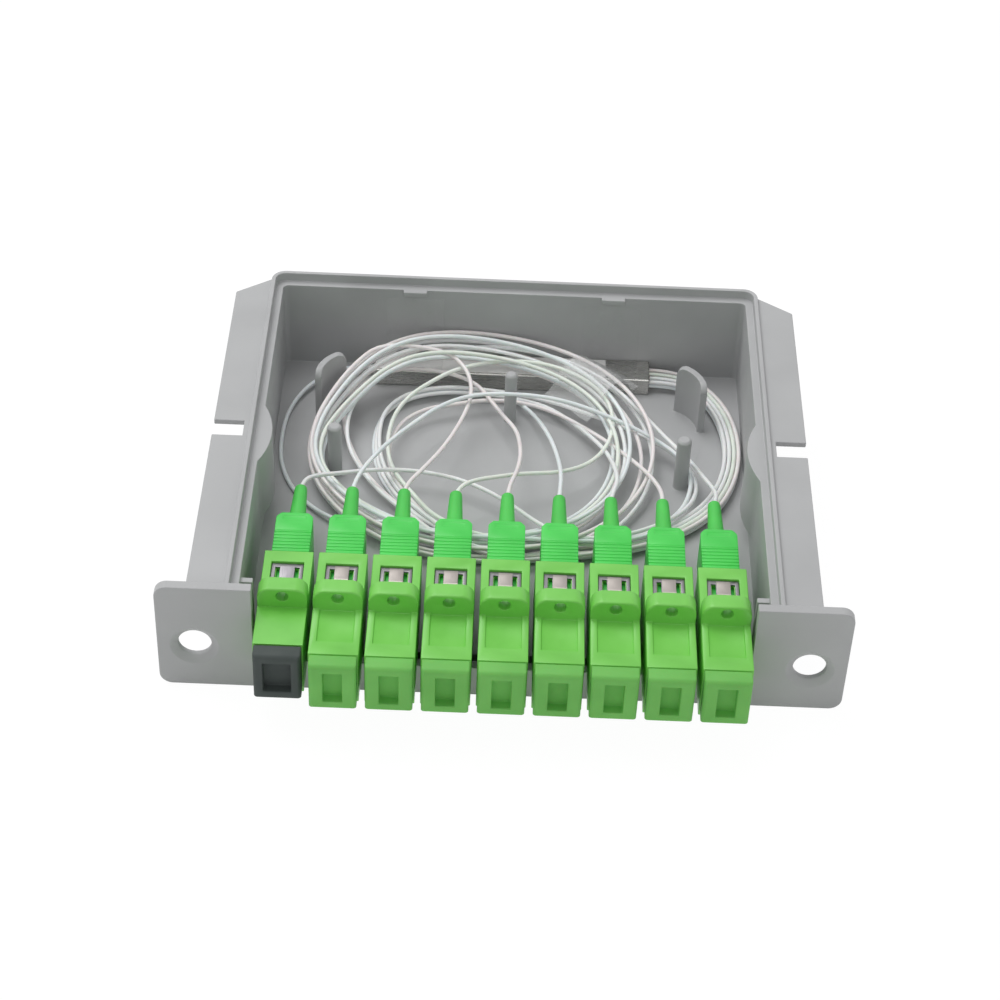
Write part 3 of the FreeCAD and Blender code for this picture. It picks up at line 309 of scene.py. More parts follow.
ROUTES = {
    1: [(-41.4, -7.3, 13.25), (-41.1, -4.2, 13.1), (-38.2, -0.9, 11.5), (-34.1, 2.1, 9.6), (-29.1, 4.8, 8.3),
        (-23.9, 6.3, 7.5), (-18.4, 6.7, 7.0), (-11.5, 5.7, 6.6), (-5.2, 3.0, 6.3), (1.0, -1.6, 6.1),
        (6.6, -7.4, 6.1), (13.0, -11.4, 6.4), (21.0, -11.3, 6.7), (28.8, -8.0, 6.6), (35.0, -2.9, 6.1),
        (38.4, 2.5, 5.5), (39.3, 8.0, 5.2), (37.7, 13.4, 5.3), (33.6, 18.4, 5.7), (28.0, 22.4, 6.0),
        (20.6, 26.9, 5.9), (13.4, 31.0, 5.5), (6.8, 34.0, 5.3), (0.2, 35.6, 5.3), (-6.2, 36.4, 5.4),
        (-12.1, 36.9, 5.4), (-18.2, 36.1, 5.2), (-23.4, 33.5, 5.0), (-26.6, 28.8, 4.9), (-27.5, 22.8, 4.9),
        (-27.2, 16.2, 4.9), (-25.9, 10.2, 4.9), (-23.4, 4.4, 5.0), (-19.8, -1.4, 5.2), (-14.8, -6.8, 5.4)],
    2: [(-31.05, -7.3, 13.25), (-30.9, -4.6, 13.2), (-28.9, 1.6, 12.7), (-25.2, 9.2, 12.1),
        (-20.0, 16.6, 11.7), (-15.6, 22.0, 11.5), (-10.8, 25.6, 11.5), (-5.8, 27.2, 11.6),
        (0.4, 27.6, 11.6), (7.6, 27.4, 11.3), (14.0, 26.2, 10.6), (20.4, 24.0, 9.6), (25.6, 22.2, 8.4),
        (30.6, 19.8, 7.2), (35.1, 16.4, 6.3), (37.8, 11.9, 5.9), (38.0, 6.3, 5.7), (36.2, -0.2, 5.9),
        (32.6, -5.4, 6.3)],
    3: [(-20.7, -7.3, 13.25), (-20.4, -4.6, 13.1), (-17.6, 1.2, 12.0), (-13.3, 10.6, 10.6),
        (-9.9, 20.7, 9.9), (-8.2, 28.5, 9.9), (-8.8, 34.3, 10.7), (-11.4, 38.3, 11.8), (-15.6, 40.9, 12.4)],
    4: [(-10.35, -7.3, 13.25), (-9.6, -4.4, 13.0), (-6.7, -1.4, 12.2), (-2.4, 1.0, 11.2), (3.2, 3.6, 10.2),
        (10.6, 5.7, 8.9), (16.9, 9.9, 8.0), (20.7, 16.2, 7.8), (22.1, 23.5, 8.4), (20.6, 30.2, 9.4),
        (15.6, 35.6, 10.4), (7.1, 39.5, 11.0), (-2.6, 39.8, 10.8), (-11.5, 37.2, 10.4), (-17.1, 32.9, 9.8),
        (-21.2, 29.4, 8.9), (-24.1, 24.6, 8.1), (-25.3, 18.8, 7.5), (-25.3, 12.4, 7.1), (-23.5, 6.1, 6.8),
        (-19.0, -0.5, 6.6), (-14.7, -6.5, 6.2)],
    5: [(0.0, -7.3, 13.25), (0.3, -3.6, 13.0), (1.6, 2.4, 11.2), (2.4, 7.8, 10.1), (2.4, 13.6, 9.0),
        (1.5, 20.3, 7.8), (-1.6, 26.0, 7.0), (-4.4, 31.4, 6.8), (-6.4, 34.8, 7.0), (-8.7, 36.7, 7.4),
        (-11.5, 37.6, 7.9), (-15.2, 38.6, 8.2), (-20.0, 39.3, 8.2), (-25.2, 39.0, 7.8), (-29.9, 36.6, 7.2),
        (-32.8, 33.4, 6.7), (-34.6, 29.8, 6.2), (-35.2, 25.8, 5.8), (-34.8, 21.4, 5.4), (-33.4, 16.6, 5.0),
        (-31.4, 11.6, 4.7), (-28.2, 6.2, 4.4), (-24.3, 1.2, 4.3), (-19.6, -3.8, 4.2)],
    6: [(10.35, -7.3, 13.25), (10.6, -3.4, 12.9), (10.8, 1.6, 11.6), (10.4, 8.4, 9.8), (8.9, 17.9, 7.4),
        (6.5, 25.9, 5.6), (3.6, 31.5, 4.6), (0.3, 35.0, 4.3), (-2.9, 36.8, 4.3), (-7.5, 37.5, 4.3),
        (-12.7, 37.8, 4.1), (-18.5, 36.9, 3.8), (-23.6, 34.2, 3.4), (-27.0, 29.5, 3.05), (-28.5, 23.4, 3.0),
        (-28.5, 17.5, 3.0), (-27.4, 11.6, 3.0), (-25.1, 5.8, 3.1), (-22.1, 0.6, 3.3), (-18.4, -4.1, 3.4)],
    7: [(20.7, -7.3, 13.25), (21.3, -4.0, 12.9), (22.2, 0.0, 11.8), (22.2, 5.6, 10.0), (20.7, 14.0, 7.6),
        (17.7, 20.9, 5.8), (13.3, 27.5, 4.6), (8.8, 32.2, 4.2), (4.2, 34.2, 4.4), (-1.0, 35.4, 4.4),
        (-6.2, 36.0, 4.5), (-12.1, 36.3, 4.5), (-18.2, 35.4, 4.3), (-23.4, 32.9, 4.0), (-26.8, 28.8, 3.9),
        (-28.0, 23.2, 3.9), (-27.9, 16.4, 3.9), (-26.7, 10.4, 3.9), (-24.3, 4.8, 4.0), (-21.0, -0.7, 4.2),
        (-16.5, -5.9, 4.4)],
    8: [(31.05, -7.3, 13.25), (31.2, -4.4, 12.7), (30.6, -0.2, 11.4), (28.8, 5.4, 9.8), (25.2, 12.4, 7.9),
        (20.2, 20.1, 6.1), (14.5, 26.3, 5.1), (9.4, 30.3, 4.9), (4.2, 32.4, 5.1), (-0.9, 32.7, 5.5),
        (-6.3, 32.2, 5.8), (-11.4, 30.6, 5.8), (-17.4, 28.9, 5.8), (-22.3, 24.8, 5.9), (-24.8, 18.4, 5.9),
        (-25.1, 11.7, 5.8), (-23.2, 5.1, 5.7), (-19.6, -1.0, 5.5), (-15.0, -6.6, 5.1)],
    9: [(41.4, -7.3, 13.25), (42.2, -4.4, 12.6), (41.9, 0.4, 10.8), (40.2, 6.2, 8.8), (38.4, 12.0, 7.3),
        (35.4, 17.0, 7.0), (32.2, 21.3, 7.4), (28.6, 26.0, 8.2), (24.4, 31.2, 9.2), (18.4, 36.9, 10.3),
        (10.4, 41.0, 11.2), (1.2, 43.2, 11.7), (-7.9, 43.6, 11.4), (-16.9, 42.0, 10.6), (-24.8, 38.4, 9.5),
        (-30.2, 33.2, 8.4), (-33.6, 27.2, 7.4), (-34.4, 21.0, 6.6), (-33.5, 14.8, 6.0), (-31.0, 9.0, 5.6),
        (-27.6, 3.6, 5.3), (-23.2, -1.6, 5.2), (-18.0, -6.4, 5.2)]}
INPUT_TAIL = [(-30.0, 43.85, 4.5), (-34.4, 43.85, 4.5), (-39.8, 41.6, 4.1), (-44.4, 36.8, 3.6),
              (-47.4, 29.6, 3.2), (-48.2, 21.0, 3.1), (-47.6, 12.2, 3.1), (-44.6, 4.2, 3.1),
              (-39.8, -2.0, 3.4), (-34.9, -6.2, 4.2), (-31.0, -8.0, 4.9)]
BUNDLE = [(30.0, 43.85, 4.5), (35.2, 43.85, 4.5), (40.8, 40.6, 4.3), (44.6, 34.8, 4.2), (46.8, 27.2, 4.1),
          (47.2, 18.6, 4.1), (45.8, 10.2, 4.1), (42.4, 2.4, 4.1), (36.6, -4.0, 4.1), (29.4, -8.6, 4.2),
          (21.4, -11.7, 4.4), (13.8, -13.6, 4.5)]
COIL_X, COIL_Y, COIL_Z = -5.5, 14.5, 5.4     # middle of the coil's lowest turn
COIL_RADIUS, COIL_HALF_STRAIGHT = 29.1, 3.5  # a turn is a circle drawn apart sideways
COIL_RISE = 0.0748                           # how much a turn climbs towards the rear
COIL_STEP = 15.0                             # degrees from one point of a turn to the next
LAYER_STEP = 0.93                            # from one layer of turns to the next
CROSSING = 0.9                               # how far a turn is shifted off the middle
CHANGE_AT, CHANGE_OVER = 0.67, 0.33          # shares of a turn, from which and over which a strand changes
# Stretches of the coil: the direction of each one's middle and its reach to either side, in degrees, and
# what the turns do there.
AT_POST, PACKED, PUSHED_OUT = (188, 27), 0.62, 2.9        # lie closer together and further out
AT_RIGHT, FANNED_RIGHT = (0, 40), 0.2                     # spread
AT_TOP, FANNED_TOP = (100, 40), 0.15                      # spread
AT_TOP_LEFT, BULGE = (125, 28), 1.4                       # bulge out
AT_REAR, LIFT = (100, 45), 0.5                            # lift off the floor
SPRUNG_UP, SPRING = (114, 38), 2.9                        # stand up
# Each turn's layer, how far out it lies, and the direction in which it is shifted.
STRANDS = [(0, 2.2, 40), (0, -2.4, 200), (1, 0.4, 300), (1, -4.0, 110), (2, 3.0, 350), (2, -1.4, 160),
           (3, 1.2, 80), (3, -3.2, 250), (4, 2.0, 20), (4, -0.9, 130)]


def near(turn, middle, spread):
    """1 at one direction of the coil, falling to 0 either side of it."""
    off = (turn - middle + 180) % 360 - 180
    return exp(-(off / spread) ** 2)


def coil_point(turn, strand):
    """A turn's place in the coil. Each is a ring of its own, a little larger or smaller and off the
    middle, so they cross at small angles. They are packed on the outer side of the left post and fan
    out at the top and on the right. At the top left the springy turns stand up off the floor."""
    layer, out, way = STRANDS[strand]
    post = near(turn, *AT_POST)
    spread = 1.0 + FANNED_RIGHT * near(turn, *AT_RIGHT) + FANNED_TOP * near(turn, *AT_TOP) - PACKED * post
    shift = CROSSING * cos(radians(turn - way)) * (1 - 0.8 * post)
    radius = COIL_RADIUS + PUSHED_OUT * post + BULGE * near(turn, *AT_TOP_LEFT) + out * spread + shift
    x = COIL_X + COIL_HALF_STRAIGHT * tanh(2.5 * cos(radians(turn))) + radius * cos(radians(turn))
    y = COIL_Y + radius * sin(radians(turn))
    z = COIL_Z + COIL_RISE * (y - COIL_Y) + LAYER_STEP * layer
    z += LIFT * near(turn, *AT_REAR) + SPRING * near(turn, *SPRUNG_UP)
    return (x, y, z)


def coil_turns(start, end, strands):
    """Points round the coil from one direction to another. Each turn has a strand of its own, and a
    fibre moves over from one to the next in the last third of a turn."""
    count = max(2, round(abs(end - start) / COIL_STEP))
    points = []
    for k in range(count + 1):
        turned = abs(end - start) * k / count / 360
        whole = min(floor(turned), len(strands) - 1)
        after = min(whole + 1, len(strands) - 1)
        move = min(max((turned - whole - CHANGE_AT) / CHANGE_OVER, 0), 1)
        move = move * move * (3 - 2 * move)
        turn = start + (end - start) * k / count
        here, there = (Vector(coil_point(turn, strands[s])) for s in (whole, after))
        points.append(tuple(here.lerp(there, move)))
    return points


def beside(route, across, up):
    """The points of a route moved sideways and up, to lie beside it."""
    points = []
    for k, spot in enumerate(route):
        before, after = Vector(route[max(k - 1, 0)]), Vector(route[min(k + 1, len(route) - 1)])
        way = (after - before).normalized()
        points.append(tuple(Vector(spot) + Vector((-way.y, way.x, 0)) * across + Vector((0, 0, up))))
    return points


OUT = 282                          # the direction in which the output fibres leave the coil
# The directions in which each output fibre joins and leaves the coil, its strands, and its place in the
# bundle.
WINDINGS = {
    1: (268, OUT, [6], (-1.5, 0.5)),
    3: (127, OUT + 360, [8, 4], (1.5, 0.5)),
    4: (272, OUT + 360, [7], (0.5, 0.5)),
    5: (262, OUT + 360, [1], (-0.5, -0.5)),
    6: (262, OUT + 360, [3], (-1.5, -0.5)),
    7: (268, OUT + 360, [5], (-0.5, 0.5)),
    8: (272, OUT + 360, [2], (0.5, -0.5)),
    9: (266, OUT + 360, [0], (1.5, -0.5))}
INPUT, INPUT_WINDING = 2, (276, -122, [9])
INPUT_BESIDE, BESIDE_FROM = (0.3, 1.7), 9    # the input fibre lies on the bundle's last points
BUNDLE_COLUMN, BUNDLE_LAYER = 0.98, 0.96     # from one fibre of the bundle to the next
CASE_FAN = (0.42, 0.4)                       # how much wider the columns stand where they leave the case
TINTS = (0, 2, 1, 3, 1, 2, 0, 1, 0)          # which of the buffers each fibre has


def fibre_route(port):
    """All the points of one fibre: from its boot, round the coil and on into the case."""
    if port == INPUT:
        side = beside(BUNDLE, *INPUT_BESIDE)[BESIDE_FROM:]
        return ROUTES[port] + side[:-1] + coil_turns(*INPUT_WINDING) + INPUT_TAIL[::-1]
    start, end, strands, (column, layer) = WINDINGS[port]
    bundle = [Vector(p) for p in beside(BUNDLE, column * BUNDLE_COLUMN, layer * BUNDLE_LAYER)]
    for k, wider in enumerate(CASE_FAN):
        bundle[k] += Vector((0, column * wider, 0))
    return ROUTES[port] + coil_turns(start, end, strands) + [tuple(p) for p in bundle[-2::-1]]


def lay_cord(name, points, material):
    """One fibre: a smooth spline with the route's points, as thick as its buffer."""
    curve = bpy.data.curves.new(name, "CURVE")
    curve.dimensions = "3D"
    curve.bevel_depth = FIBRE / 2 * MM
    curve.bevel_resolution = 3
    curve.resolution_u = 5
    curve.use_fill_caps = True
    spline = curve.splines.new("NURBS")
    spline.points.add(len(points) - 1)
    for spot, point in zip(spline.points, points):
        spot.co = (*(Vector(point) * MM), 1)
    spline.order_u = 3
    spline.use_endpoint_u = True
    curve.materials.append(material)
    piece = bpy.data.objects.new(name, curve)
    bpy.context.scene.collection.objects.link(piece)
    return piece


def fibres():
    """The nine fibres, each laid along its route with its buffer's tint."""
    for port in PORTS:
        cord = lay_cord(f"fibre_lead_{port}", fibre_route(port), BUFFERS[TINTS[port - 1]])
        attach(cord, "module")
        shared = "fibre_input_tail" if port == INPUT else "fibre_bundle"
        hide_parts(f"fibre_{port}", "fibre_coil", shared)


# Rigid pieces. Their places and sizes are in millimetres, and what repeats is made at its first port.

SAME = 0.01                                  # places nearer than this are the same
# A boot from inside the grip to the fibre: the place and the radius of each ring.
BOOT_RINGS = [(-26.0, 1.8), (-19.6, 1.8), (-19.4, 2.02), (-18.4, 1.96), (-16.8, 1.74), (-14.8, 1.6),
              (-11.5, 1.44), (-8.2, 1.3), (-7.5, 1.22), (-7.3, 1.06), (-7.3, 0.7), (-7.9, 0.5)]


def boots():
    """Strain relief boots: a soft cone drawn out ring by ring from the grip to the fibre."""
    middle = port_side(1) * MM
    bpy.ops.object.select_all(action="DESELECT")
    bpy.ops.mesh.primitive_circle_add(vertices=32, radius=BOOT_RINGS[0][1] * MM, fill_type="NGON",
                                      location=(middle, BOOT_RINGS[0][0] * MM, EXIT_Z * MM),
                                      rotation=(pi / 2, 0, 0))
    piece = bpy.context.active_object
    piece.name = "boot_1_soft"
    bpy.ops.object.transform_apply(location=True, rotation=True, scale=True)
    bpy.ops.object.mode_set(mode="EDIT")
    bpy.ops.mesh.select_all(action="SELECT")
    for (y0, r0), (y1, r1) in zip(BOOT_RINGS, BOOT_RINGS[1:]):
        bpy.ops.mesh.extrude_region_move(TRANSFORM_OT_translate={"value": (0, (y1 - y0) * MM, 0)})
        bpy.ops.transform.resize(value=(r1 / r0, r1 / r0, r1 / r0),
                                 center_override=(middle, y1 * MM, EXIT_Z * MM))
    bpy.ops.mesh.select_all(action="SELECT")
    bpy.ops.mesh.normals_make_consistent(inside=False)
    bpy.ops.object.mode_set(mode="OBJECT")
    bpy.ops.object.shade_smooth_by_angle(angle=radians(50))
    along_row(piece, 1, "boot_{}_soft", BOOT, "boot_green", "module", "boot_{}")


GRIP_TOP, GRIP_REAR = EXIT_Z + 4.45, -19.5   # a grip's top face, and its end at the boot
SHOULDER_AT, SHOULDER_BACK = -21.9, 1.1      # where the grip's sides narrow, and how far that moves back
STEP_LINE = (-24.95, -24.8, -24.65)          # the line across the top: its front, bottom and rear
MARK_FRONT, MARK_BACK, MARK_HALF = GRIP_REAR - 2.2, GRIP_REAR - 0.9, 2.3     # the finger mark's outline
MARK_DEEP, MARK_EDGE = 0.14, 0.12            # depth of the line and the mark, and the mark's slope
SHOULDER_ROUND = 0.55                        # radius of the shoulders' upright edges


def leave_edit():
    """Ends the shaping of a piece with nothing on it selected."""
    bpy.ops.mesh.select_mode(type="VERT")
    bpy.ops.mesh.select_all(action="DESELECT")
    bpy.ops.object.mode_set(mode="OBJECT")


def on_top(face):
    """Whether a face is part of a grip's top."""
    return face.normal.z > 0.99 and abs(face.center.z - GRIP_TOP * MM) < SAME * MM


def cut_top(piece, along, place, low=-99.0, high=99.0):
    """Cuts a grip's top face along x (0) or y (1), between two places on the other axis."""
    only(piece)
    other = 1 - along
    for face in piece.data.polygons:
        face.select = on_top(face) and low * MM < face.center[other] < high * MM
    normal = (1, 0, 0) if along == 0 else (0, 1, 0)
    spot = tuple(place * MM * part for part in normal)
    bpy.ops.object.mode_set(mode="EDIT")
    bpy.ops.mesh.select_mode(type="FACE")
    bpy.ops.mesh.bisect(plane_co=spot, plane_no=normal, use_fill=False)
    leave_edit()


def grip_marks(piece):
    """Fuller shoulders at the rear of a grip, a step line across its top and the finger mark."""
    middle = port_side(1)
    for vertex in piece.data.vertices:
        spot = vertex.co / MM
        if abs(spot.x - middle) > 3.5 and abs(spot.y - SHOULDER_AT) < 0.05:
            vertex.co.y += SHOULDER_BACK * MM
    for place in STEP_LINE:
        cut_top(piece, 1, place)
    for vertex in piece.data.vertices:
        spot = vertex.co / MM
        if abs(spot.z - GRIP_TOP) < SAME and abs(spot.y - STEP_LINE[1]) < 2 * SAME:
            vertex.co.z -= MARK_DEEP * MM
    for place in (MARK_FRONT, MARK_BACK):
        cut_top(piece, 1, place)
    for place in (middle - MARK_HALF, middle + MARK_HALF):
        cut_top(piece, 0, place, MARK_FRONT, MARK_BACK)
    for face in piece.data.polygons:
        spot = face.center / MM
        inside = abs(spot.x - middle) < MARK_HALF and MARK_FRONT < spot.y < MARK_BACK
        face.select = on_top(face) and inside
    bpy.ops.object.mode_set(mode="EDIT")
    bpy.ops.mesh.select_mode(type="FACE")
    bpy.ops.mesh.inset(thickness=MARK_EDGE * MM)
    bpy.ops.transform.translate(value=(0, 0, -MARK_DEEP * MM))
    leave_edit()
    for edge in piece.data.edges:
        ends = [piece.data.vertices[i].co / MM for i in edge.vertices]
        upright = abs(ends[0].z - ends[1].z) > 5
        edge.select = upright and min(e.y for e in ends) > GRIP_REAR - 2.5 and abs(ends[0].x - middle) > 2
    bpy.ops.object.mode_set(mode="EDIT")
    bpy.ops.mesh.select_mode(type="EDGE")
    bpy.ops.mesh.bevel(offset=SHOULDER_ROUND * MM, segments=3, clamp_overlap=True)
    leave_edit()


def soften(piece, chosen, offset, steps):
    """Bevels the sharp edges that the test chooses, by its two ends in millimetres."""
    only(piece)
    bpy.ops.object.mode_set(mode="EDIT")
    bpy.ops.mesh.select_mode(type="EDGE")
    bpy.ops.mesh.select_all(action="DESELECT")
    bpy.ops.mesh.edges_select_sharp(sharpness=radians(25))
    bpy.ops.object.mode_set(mode="OBJECT")
    for edge in piece.data.edges:
        ends = [piece.data.vertices[i].co / MM for i in edge.vertices]
        edge.select = edge.select and chosen(*ends)
    for item in (*piece.data.vertices, *piece.data.polygons):
        item.select = False
    bpy.ops.object.mode_set(mode="EDIT")
    bpy.ops.mesh.bevel(offset=offset * MM, segments=steps, clamp_overlap=False)
    leave_edit()


FLANGE_ONLY = EXIT_Z + 9                     # over this height an adapter has only its flange
OUTLINE_FROM, OUTLINE_ROUND = EXIT_Z + 8.4, 0.4           # the outline's rounded part, and its radius
CORNERS_FROM, CORNERS_ROUND = EXIT_Z + 8.95, 0.8          # the same of the top's two corners
SCREW_UP, SCREW_ROOM = EXIT_Z + 8.7, 1.4     # the flange's screw hole, and the room left round it


def round_flange(piece):
    """The flange's top corners and outline are rounder than the rest of the adapter."""
    spots = [v.co / MM for v in piece.data.vertices]
    middle = (max(v.x for v in spots) + min(v.x for v in spots)) / 2
    face = min(v.y for v in spots if v.z > FLANGE_ONLY)
    screw = Vector((middle, face, SCREW_UP))

    def at_corner(a, b):
        return min(a.z, b.z) > CORNERS_FROM and abs(a.y - b.y) > 2.5 and abs(a.x - middle) > 2

    def at_outline(a, b):
        level = max(abs(a.y - face), abs(b.y - face)) < SAME
        clear = min((a - screw).length, (b - screw).length) > SCREW_ROOM
        return level and clear and min(a.z, b.z) > OUTLINE_FROM

    soften(piece, at_corner, CORNERS_ROUND, 4)
    soften(piece, at_outline, OUTLINE_ROUND, 4)


# A clip's tongue from front to rear: place and height.
TONGUE_LINE = [(-42.9, 18.72), (-42.2, 18.74), (-39.6, 19.05), (-37.0, 19.2), (-36.3, 19.12)]
TONGUE_WIDTH, TONGUE_THICK, TONGUE_EDGE = 2.7, 0.2, 0.06
# The coil's tape: how far out from the coil's middle, and how high.
TAPE_LINE = [(20.6, 6.9), (22.4, 7.4), (23.8, 8.8), (24.8, 10.6), (26.4, 11.9), (28.4, 12.3), (30.6, 12.2),
             (32.4, 11.5), (33.6, 9.9), (34.4, 8.2), (35.6, 7.3), (37.4, 7.0)]
TAPE_WIDTH, TAPE_FIRST, TAPE_THICK = 12.5, 0.2, 0.06
TAPE_DROOP, TAPE_RIPPLE, TAPE_TURN = 0.5, 0.16, 48        # at its edges, along them, and in degrees
WALL_TAPE_OFF = 0.03                         # keeps the wall's tape clear of the wall


def flat_start(name, width, depth, place):
    """A flat rectangle at its size and place, both in millimetres, to draw a sheet from."""
    bpy.ops.object.select_all(action="DESELECT")
    bpy.ops.mesh.primitive_plane_add(size=1.0, location=(0, 0, 0))
    piece = bpy.context.active_object
    piece.name = name
    piece.scale = (width * MM, depth * MM, 1)
    piece.location = Vector(place) * MM
    bpy.ops.object.transform_apply(location=True, rotation=True, scale=True)
    return piece


def thickened(piece, thickness):
    """Gives a sheet its thickness, downwards."""
    only(piece)
    sheet = piece.modifiers.new("sheet", "SOLIDIFY")
    sheet.thickness = thickness * MM
    sheet.offset = -1.0
    bpy.ops.object.modifier_apply(modifier="sheet")


def clip_tongues():
    """The middle tongue of each adapter's clip, sprung up towards the rear, its steel painted lighter as a
    highlight.
    """
    (start, low), (second, _) = TONGUE_LINE[:2]
    first = second - start
    piece = flat_start("clip_tongue_2_sprung", TONGUE_WIDTH, first, (port_side(2), start + first / 2, low))
    for (y0, z0), (y1, z1) in zip(TONGUE_LINE[1:], TONGUE_LINE[2:]):
        for vertex in piece.data.vertices:
            vertex.select = abs(vertex.co.y - y0 * MM) < SAME * MM
        bpy.ops.object.mode_set(mode="EDIT")
        bpy.ops.mesh.extrude_region_move(
            TRANSFORM_OT_translate={"value": (0, (y1 - y0) * MM, (z1 - z0) * MM)})
        bpy.ops.object.mode_set(mode="OBJECT")
        for item in (*piece.data.edges, *piece.data.polygons):
            item.select = False
    thickened(piece, TONGUE_THICK)
    rounded(piece, TONGUE_EDGE, 40, 2, True)
    along_row(piece, 2, "clip_tongue_{}_sprung", TONGUE, "clip_steel", "module", "adapter_clips")


def coil_tape():
    """A strip of clear tape pressed over the coil, from the fibres inside it to the splitter case."""
    start, low = TAPE_LINE[0]
    piece = flat_start("coil_tape_pressed", TAPE_FIRST, TAPE_WIDTH, (start - TAPE_FIRST / 2, 0, low))
    bpy.ops.object.mode_set(mode="EDIT")
    bpy.ops.mesh.select_all(action="SELECT")
    bpy.ops.mesh.subdivide(number_cuts=5)
    leave_edit()
    edge = max(v.co.x for v in piece.data.vertices)
    for vertex in piece.data.vertices:
        vertex.select = vertex.co.x > edge - 0.001 * MM
    bpy.ops.object.mode_set(mode="EDIT")
    for (r0, z0), (r1, z1) in zip(TAPE_LINE, TAPE_LINE[1:]):
        bpy.ops.mesh.extrude_region_move(
            TRANSFORM_OT_translate={"value": ((r1 - r0) * MM, 0, (z1 - z0) * MM)})
    bpy.ops.mesh.select_all(action="SELECT")
    bpy.ops.mesh.remove_doubles(threshold=SAME * MM)
    bpy.ops.object.mode_set(mode="OBJECT")
    for vertex in piece.data.vertices:
        side = vertex.co.y / (TAPE_WIDTH / 2 * MM)
        ripple = TAPE_RIPPLE * sin(9.0 * side + 0.7 * vertex.co.x / MM)
        vertex.co.z -= (TAPE_DROOP * side * side + ripple) * MM
    thickened(piece, TAPE_THICK)
    piece.data.transform(Matrix.Rotation(radians(TAPE_TURN), 4, "Z"))
    piece.data.transform(Matrix.Translation(((COIL_X + COIL_HALF_STRAIGHT) * MM, COIL_Y * MM, 0)))
    bpy.ops.object.shade_smooth_by_angle(angle=radians(60))
    dressed(piece, TAPE, "clear_tape", "module", "coil_tape")


def row_of_plugs():
    """Grips, adapters and caps: the CAD's shapes with their moulded edges. The first adapter's top is plain
    and its cap differs, so the others repeat the second."""
    grip = eased("plug_grip_1", "grip_1_moulded", 0.1, detail=grip_marks)
    along_row(grip, 1, "grip_{}_moulded", GRIP, "grip_green", "grip_{}", "plug_grip_{}")
    plain = eased("adapter_1", "adapter_1_moulded", 0.14, detail=round_flange, level=True)
    dressed(plain, ADAPTER, "adapter_green", "module", "adapter_1")
    black = eased("dust_cap_1", "cap_1_moulded", 0.3, steps=3)
    dressed(black, CAP_BLACK, "cap_black", "cap_1", "dust_cap_1")
    adapter = eased("adapter_2", "adapter_2_moulded", 0.14, detail=round_flange)
    along_row(adapter, 2, "adapter_{}_moulded", ADAPTER, "adapter_green", "module", "adapter_{}")
    cap = eased("dust_cap_2", "cap_2_moulded", 0.26, steps=3)
    along_row(cap, 2, "cap_{}_moulded", CAP, "cap_green", "cap_{}", "dust_cap_{}")
    frames = eased("plug_frames", "plug_frames_moulded", 0.1)
    dressed(frames, FRAME, "frame_green", "module", "plug_frames")
    clips = eased("adapter_clips", "adapter_clips_pressed", 0.05)
    dressed(clips, CLIP, "clip_steel", "module", "adapter_clips")
    clip_tongues()


def tray_and_case():
    """The tray, the splitter case against its back wall, and the tapes."""
    housing = eased("housing", "housing_moulded", 0.18, level=True)
    dressed(housing, HOUSING, "housing_grey", "module", "housing")
    case = eased("splitter_case", "splitter_case_folded", 0.3, steps=3, level=True)
    dressed(case, CASE, "case_steel", "module", "splitter_case")
    tapes = eased("wall_tapes", "wall_tapes_stuck", 0.01)
    tapes.data.transform(Matrix.Translation((0, -WALL_TAPE_OFF * MM, WALL_TAPE_OFF * MM)))
    dressed(tapes, WALL_TAPE, "clear_tape", "module", "wall_tapes")
    coil_tape()


def kept_nodes():
    """CAD pieces that keep their own mesh get their real finish."""
    finishes = {"alignment_sleeves": CERAMIC, "ferrules": CERAMIC, "case_seals": ADHESIVE,
                "case_label": LABEL, "fibre_arrays": CHIP, "plc_chip": CHIP}
    for node, material in finishes.items():
        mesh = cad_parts[node].data
        mesh.materials.clear()
        mesh.materials.append(material)


# Stage and light.

FLOOR_SIZE, FLOOR_BELOW = 6.0, 0.0002        # metres
FLOOR_OWN_LIGHT, FLOOR_STRENGTH = 0.94, 1.03
AROUND = 0.47                                # the studio's light from all sides
# Each lamp's name, place and size in metres, and power.
LAMPS = (("key_above", (-0.32, 0.28, 0.88), 0.7, 5.3), ("fill_front", (-0.3, -0.9, 0.7), 0.8, 0.35))


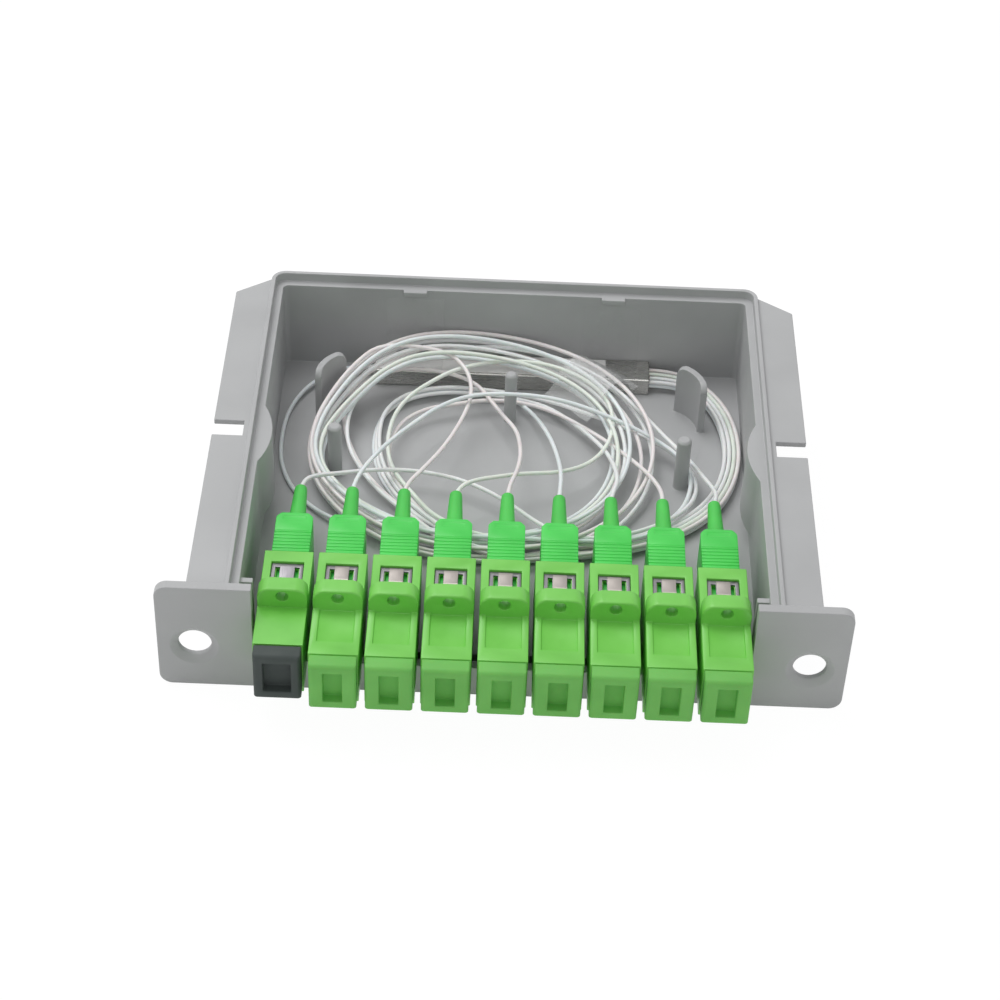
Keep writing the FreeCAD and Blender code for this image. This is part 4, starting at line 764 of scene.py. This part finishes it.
def seen_as_white(tree):
    """1 where the camera looks, straight or by way of metal or glass, and 0 for all other light."""
    seen = add(tree, "ShaderNodeLightPath").outputs
    either = add(tree, "ShaderNodeMath", {0: seen["Is Camera Ray"], 1: seen["Is Glossy Ray"]},
                 operation="MAXIMUM")
    any_of_them = add(tree, "ShaderNodeMath", {0: either.outputs[0], 1: seen["Is Transmission Ray"]},
                      operation="MAXIMUM")
    return any_of_them.outputs[0]


def stage():
    """A pale floor that looks white to the camera but keeps the soft shadow, and even studio light."""
    white = rgba("#FFFFFF")
    bpy.ops.object.select_all(action="DESELECT")
    bpy.ops.mesh.primitive_plane_add(size=FLOOR_SIZE, location=(0, 0, -FLOOR_BELOW))
    ground = bpy.context.active_object
    ground.name = "floor"
    material = blank("paper_sweep")
    tree = material.node_tree
    share = add(tree, "ShaderNodeMath", {0: seen_as_white(tree), 1: FLOOR_OWN_LIGHT}, operation="MULTIPLY")
    matt = add(tree, "ShaderNodeBsdfDiffuse", {"Color": white})
    bright = add(tree, "ShaderNodeEmission", {"Color": white, "Strength": FLOOR_STRENGTH})
    both = add(tree, "ShaderNodeMixShader", {
        0: share.outputs[0], 1: matt.outputs[0], 2: bright.outputs[0]})
    add(tree, "ShaderNodeOutputMaterial", {"Surface": both.outputs[0]})
    ground.data.materials.append(material)

    world = bpy.data.worlds.new("studio")
    world.use_nodes = True
    bpy.context.scene.world = world
    tree = world.node_tree
    tree.nodes.clear()
    dim = add(tree, "ShaderNodeBackground", {"Color": white, "Strength": AROUND})
    plain = add(tree, "ShaderNodeBackground", {"Color": white, "Strength": 1.0})
    both = add(tree, "ShaderNodeMixShader", {
        0: seen_as_white(tree), 1: dim.outputs[0], 2: plain.outputs[0]})
    add(tree, "ShaderNodeOutputWorld", {"Surface": both.outputs[0]})

    for name, place, size, power in LAMPS:
        lamp = bpy.data.lights.new(name, "AREA")
        lamp.size = size
        lamp.energy = power
        holder = bpy.data.objects.new(name, lamp)
        holder.location = place
        holder.rotation_euler = (-Vector(place)).to_track_quat("-Z", "Y").to_euler()
        bpy.context.scene.collection.objects.link(holder)
    bpy.context.scene.view_settings.view_transform = "Standard"


set_camera()
fibres()
boots()
row_of_plugs()
tray_and_case()
kept_nodes()
stage()
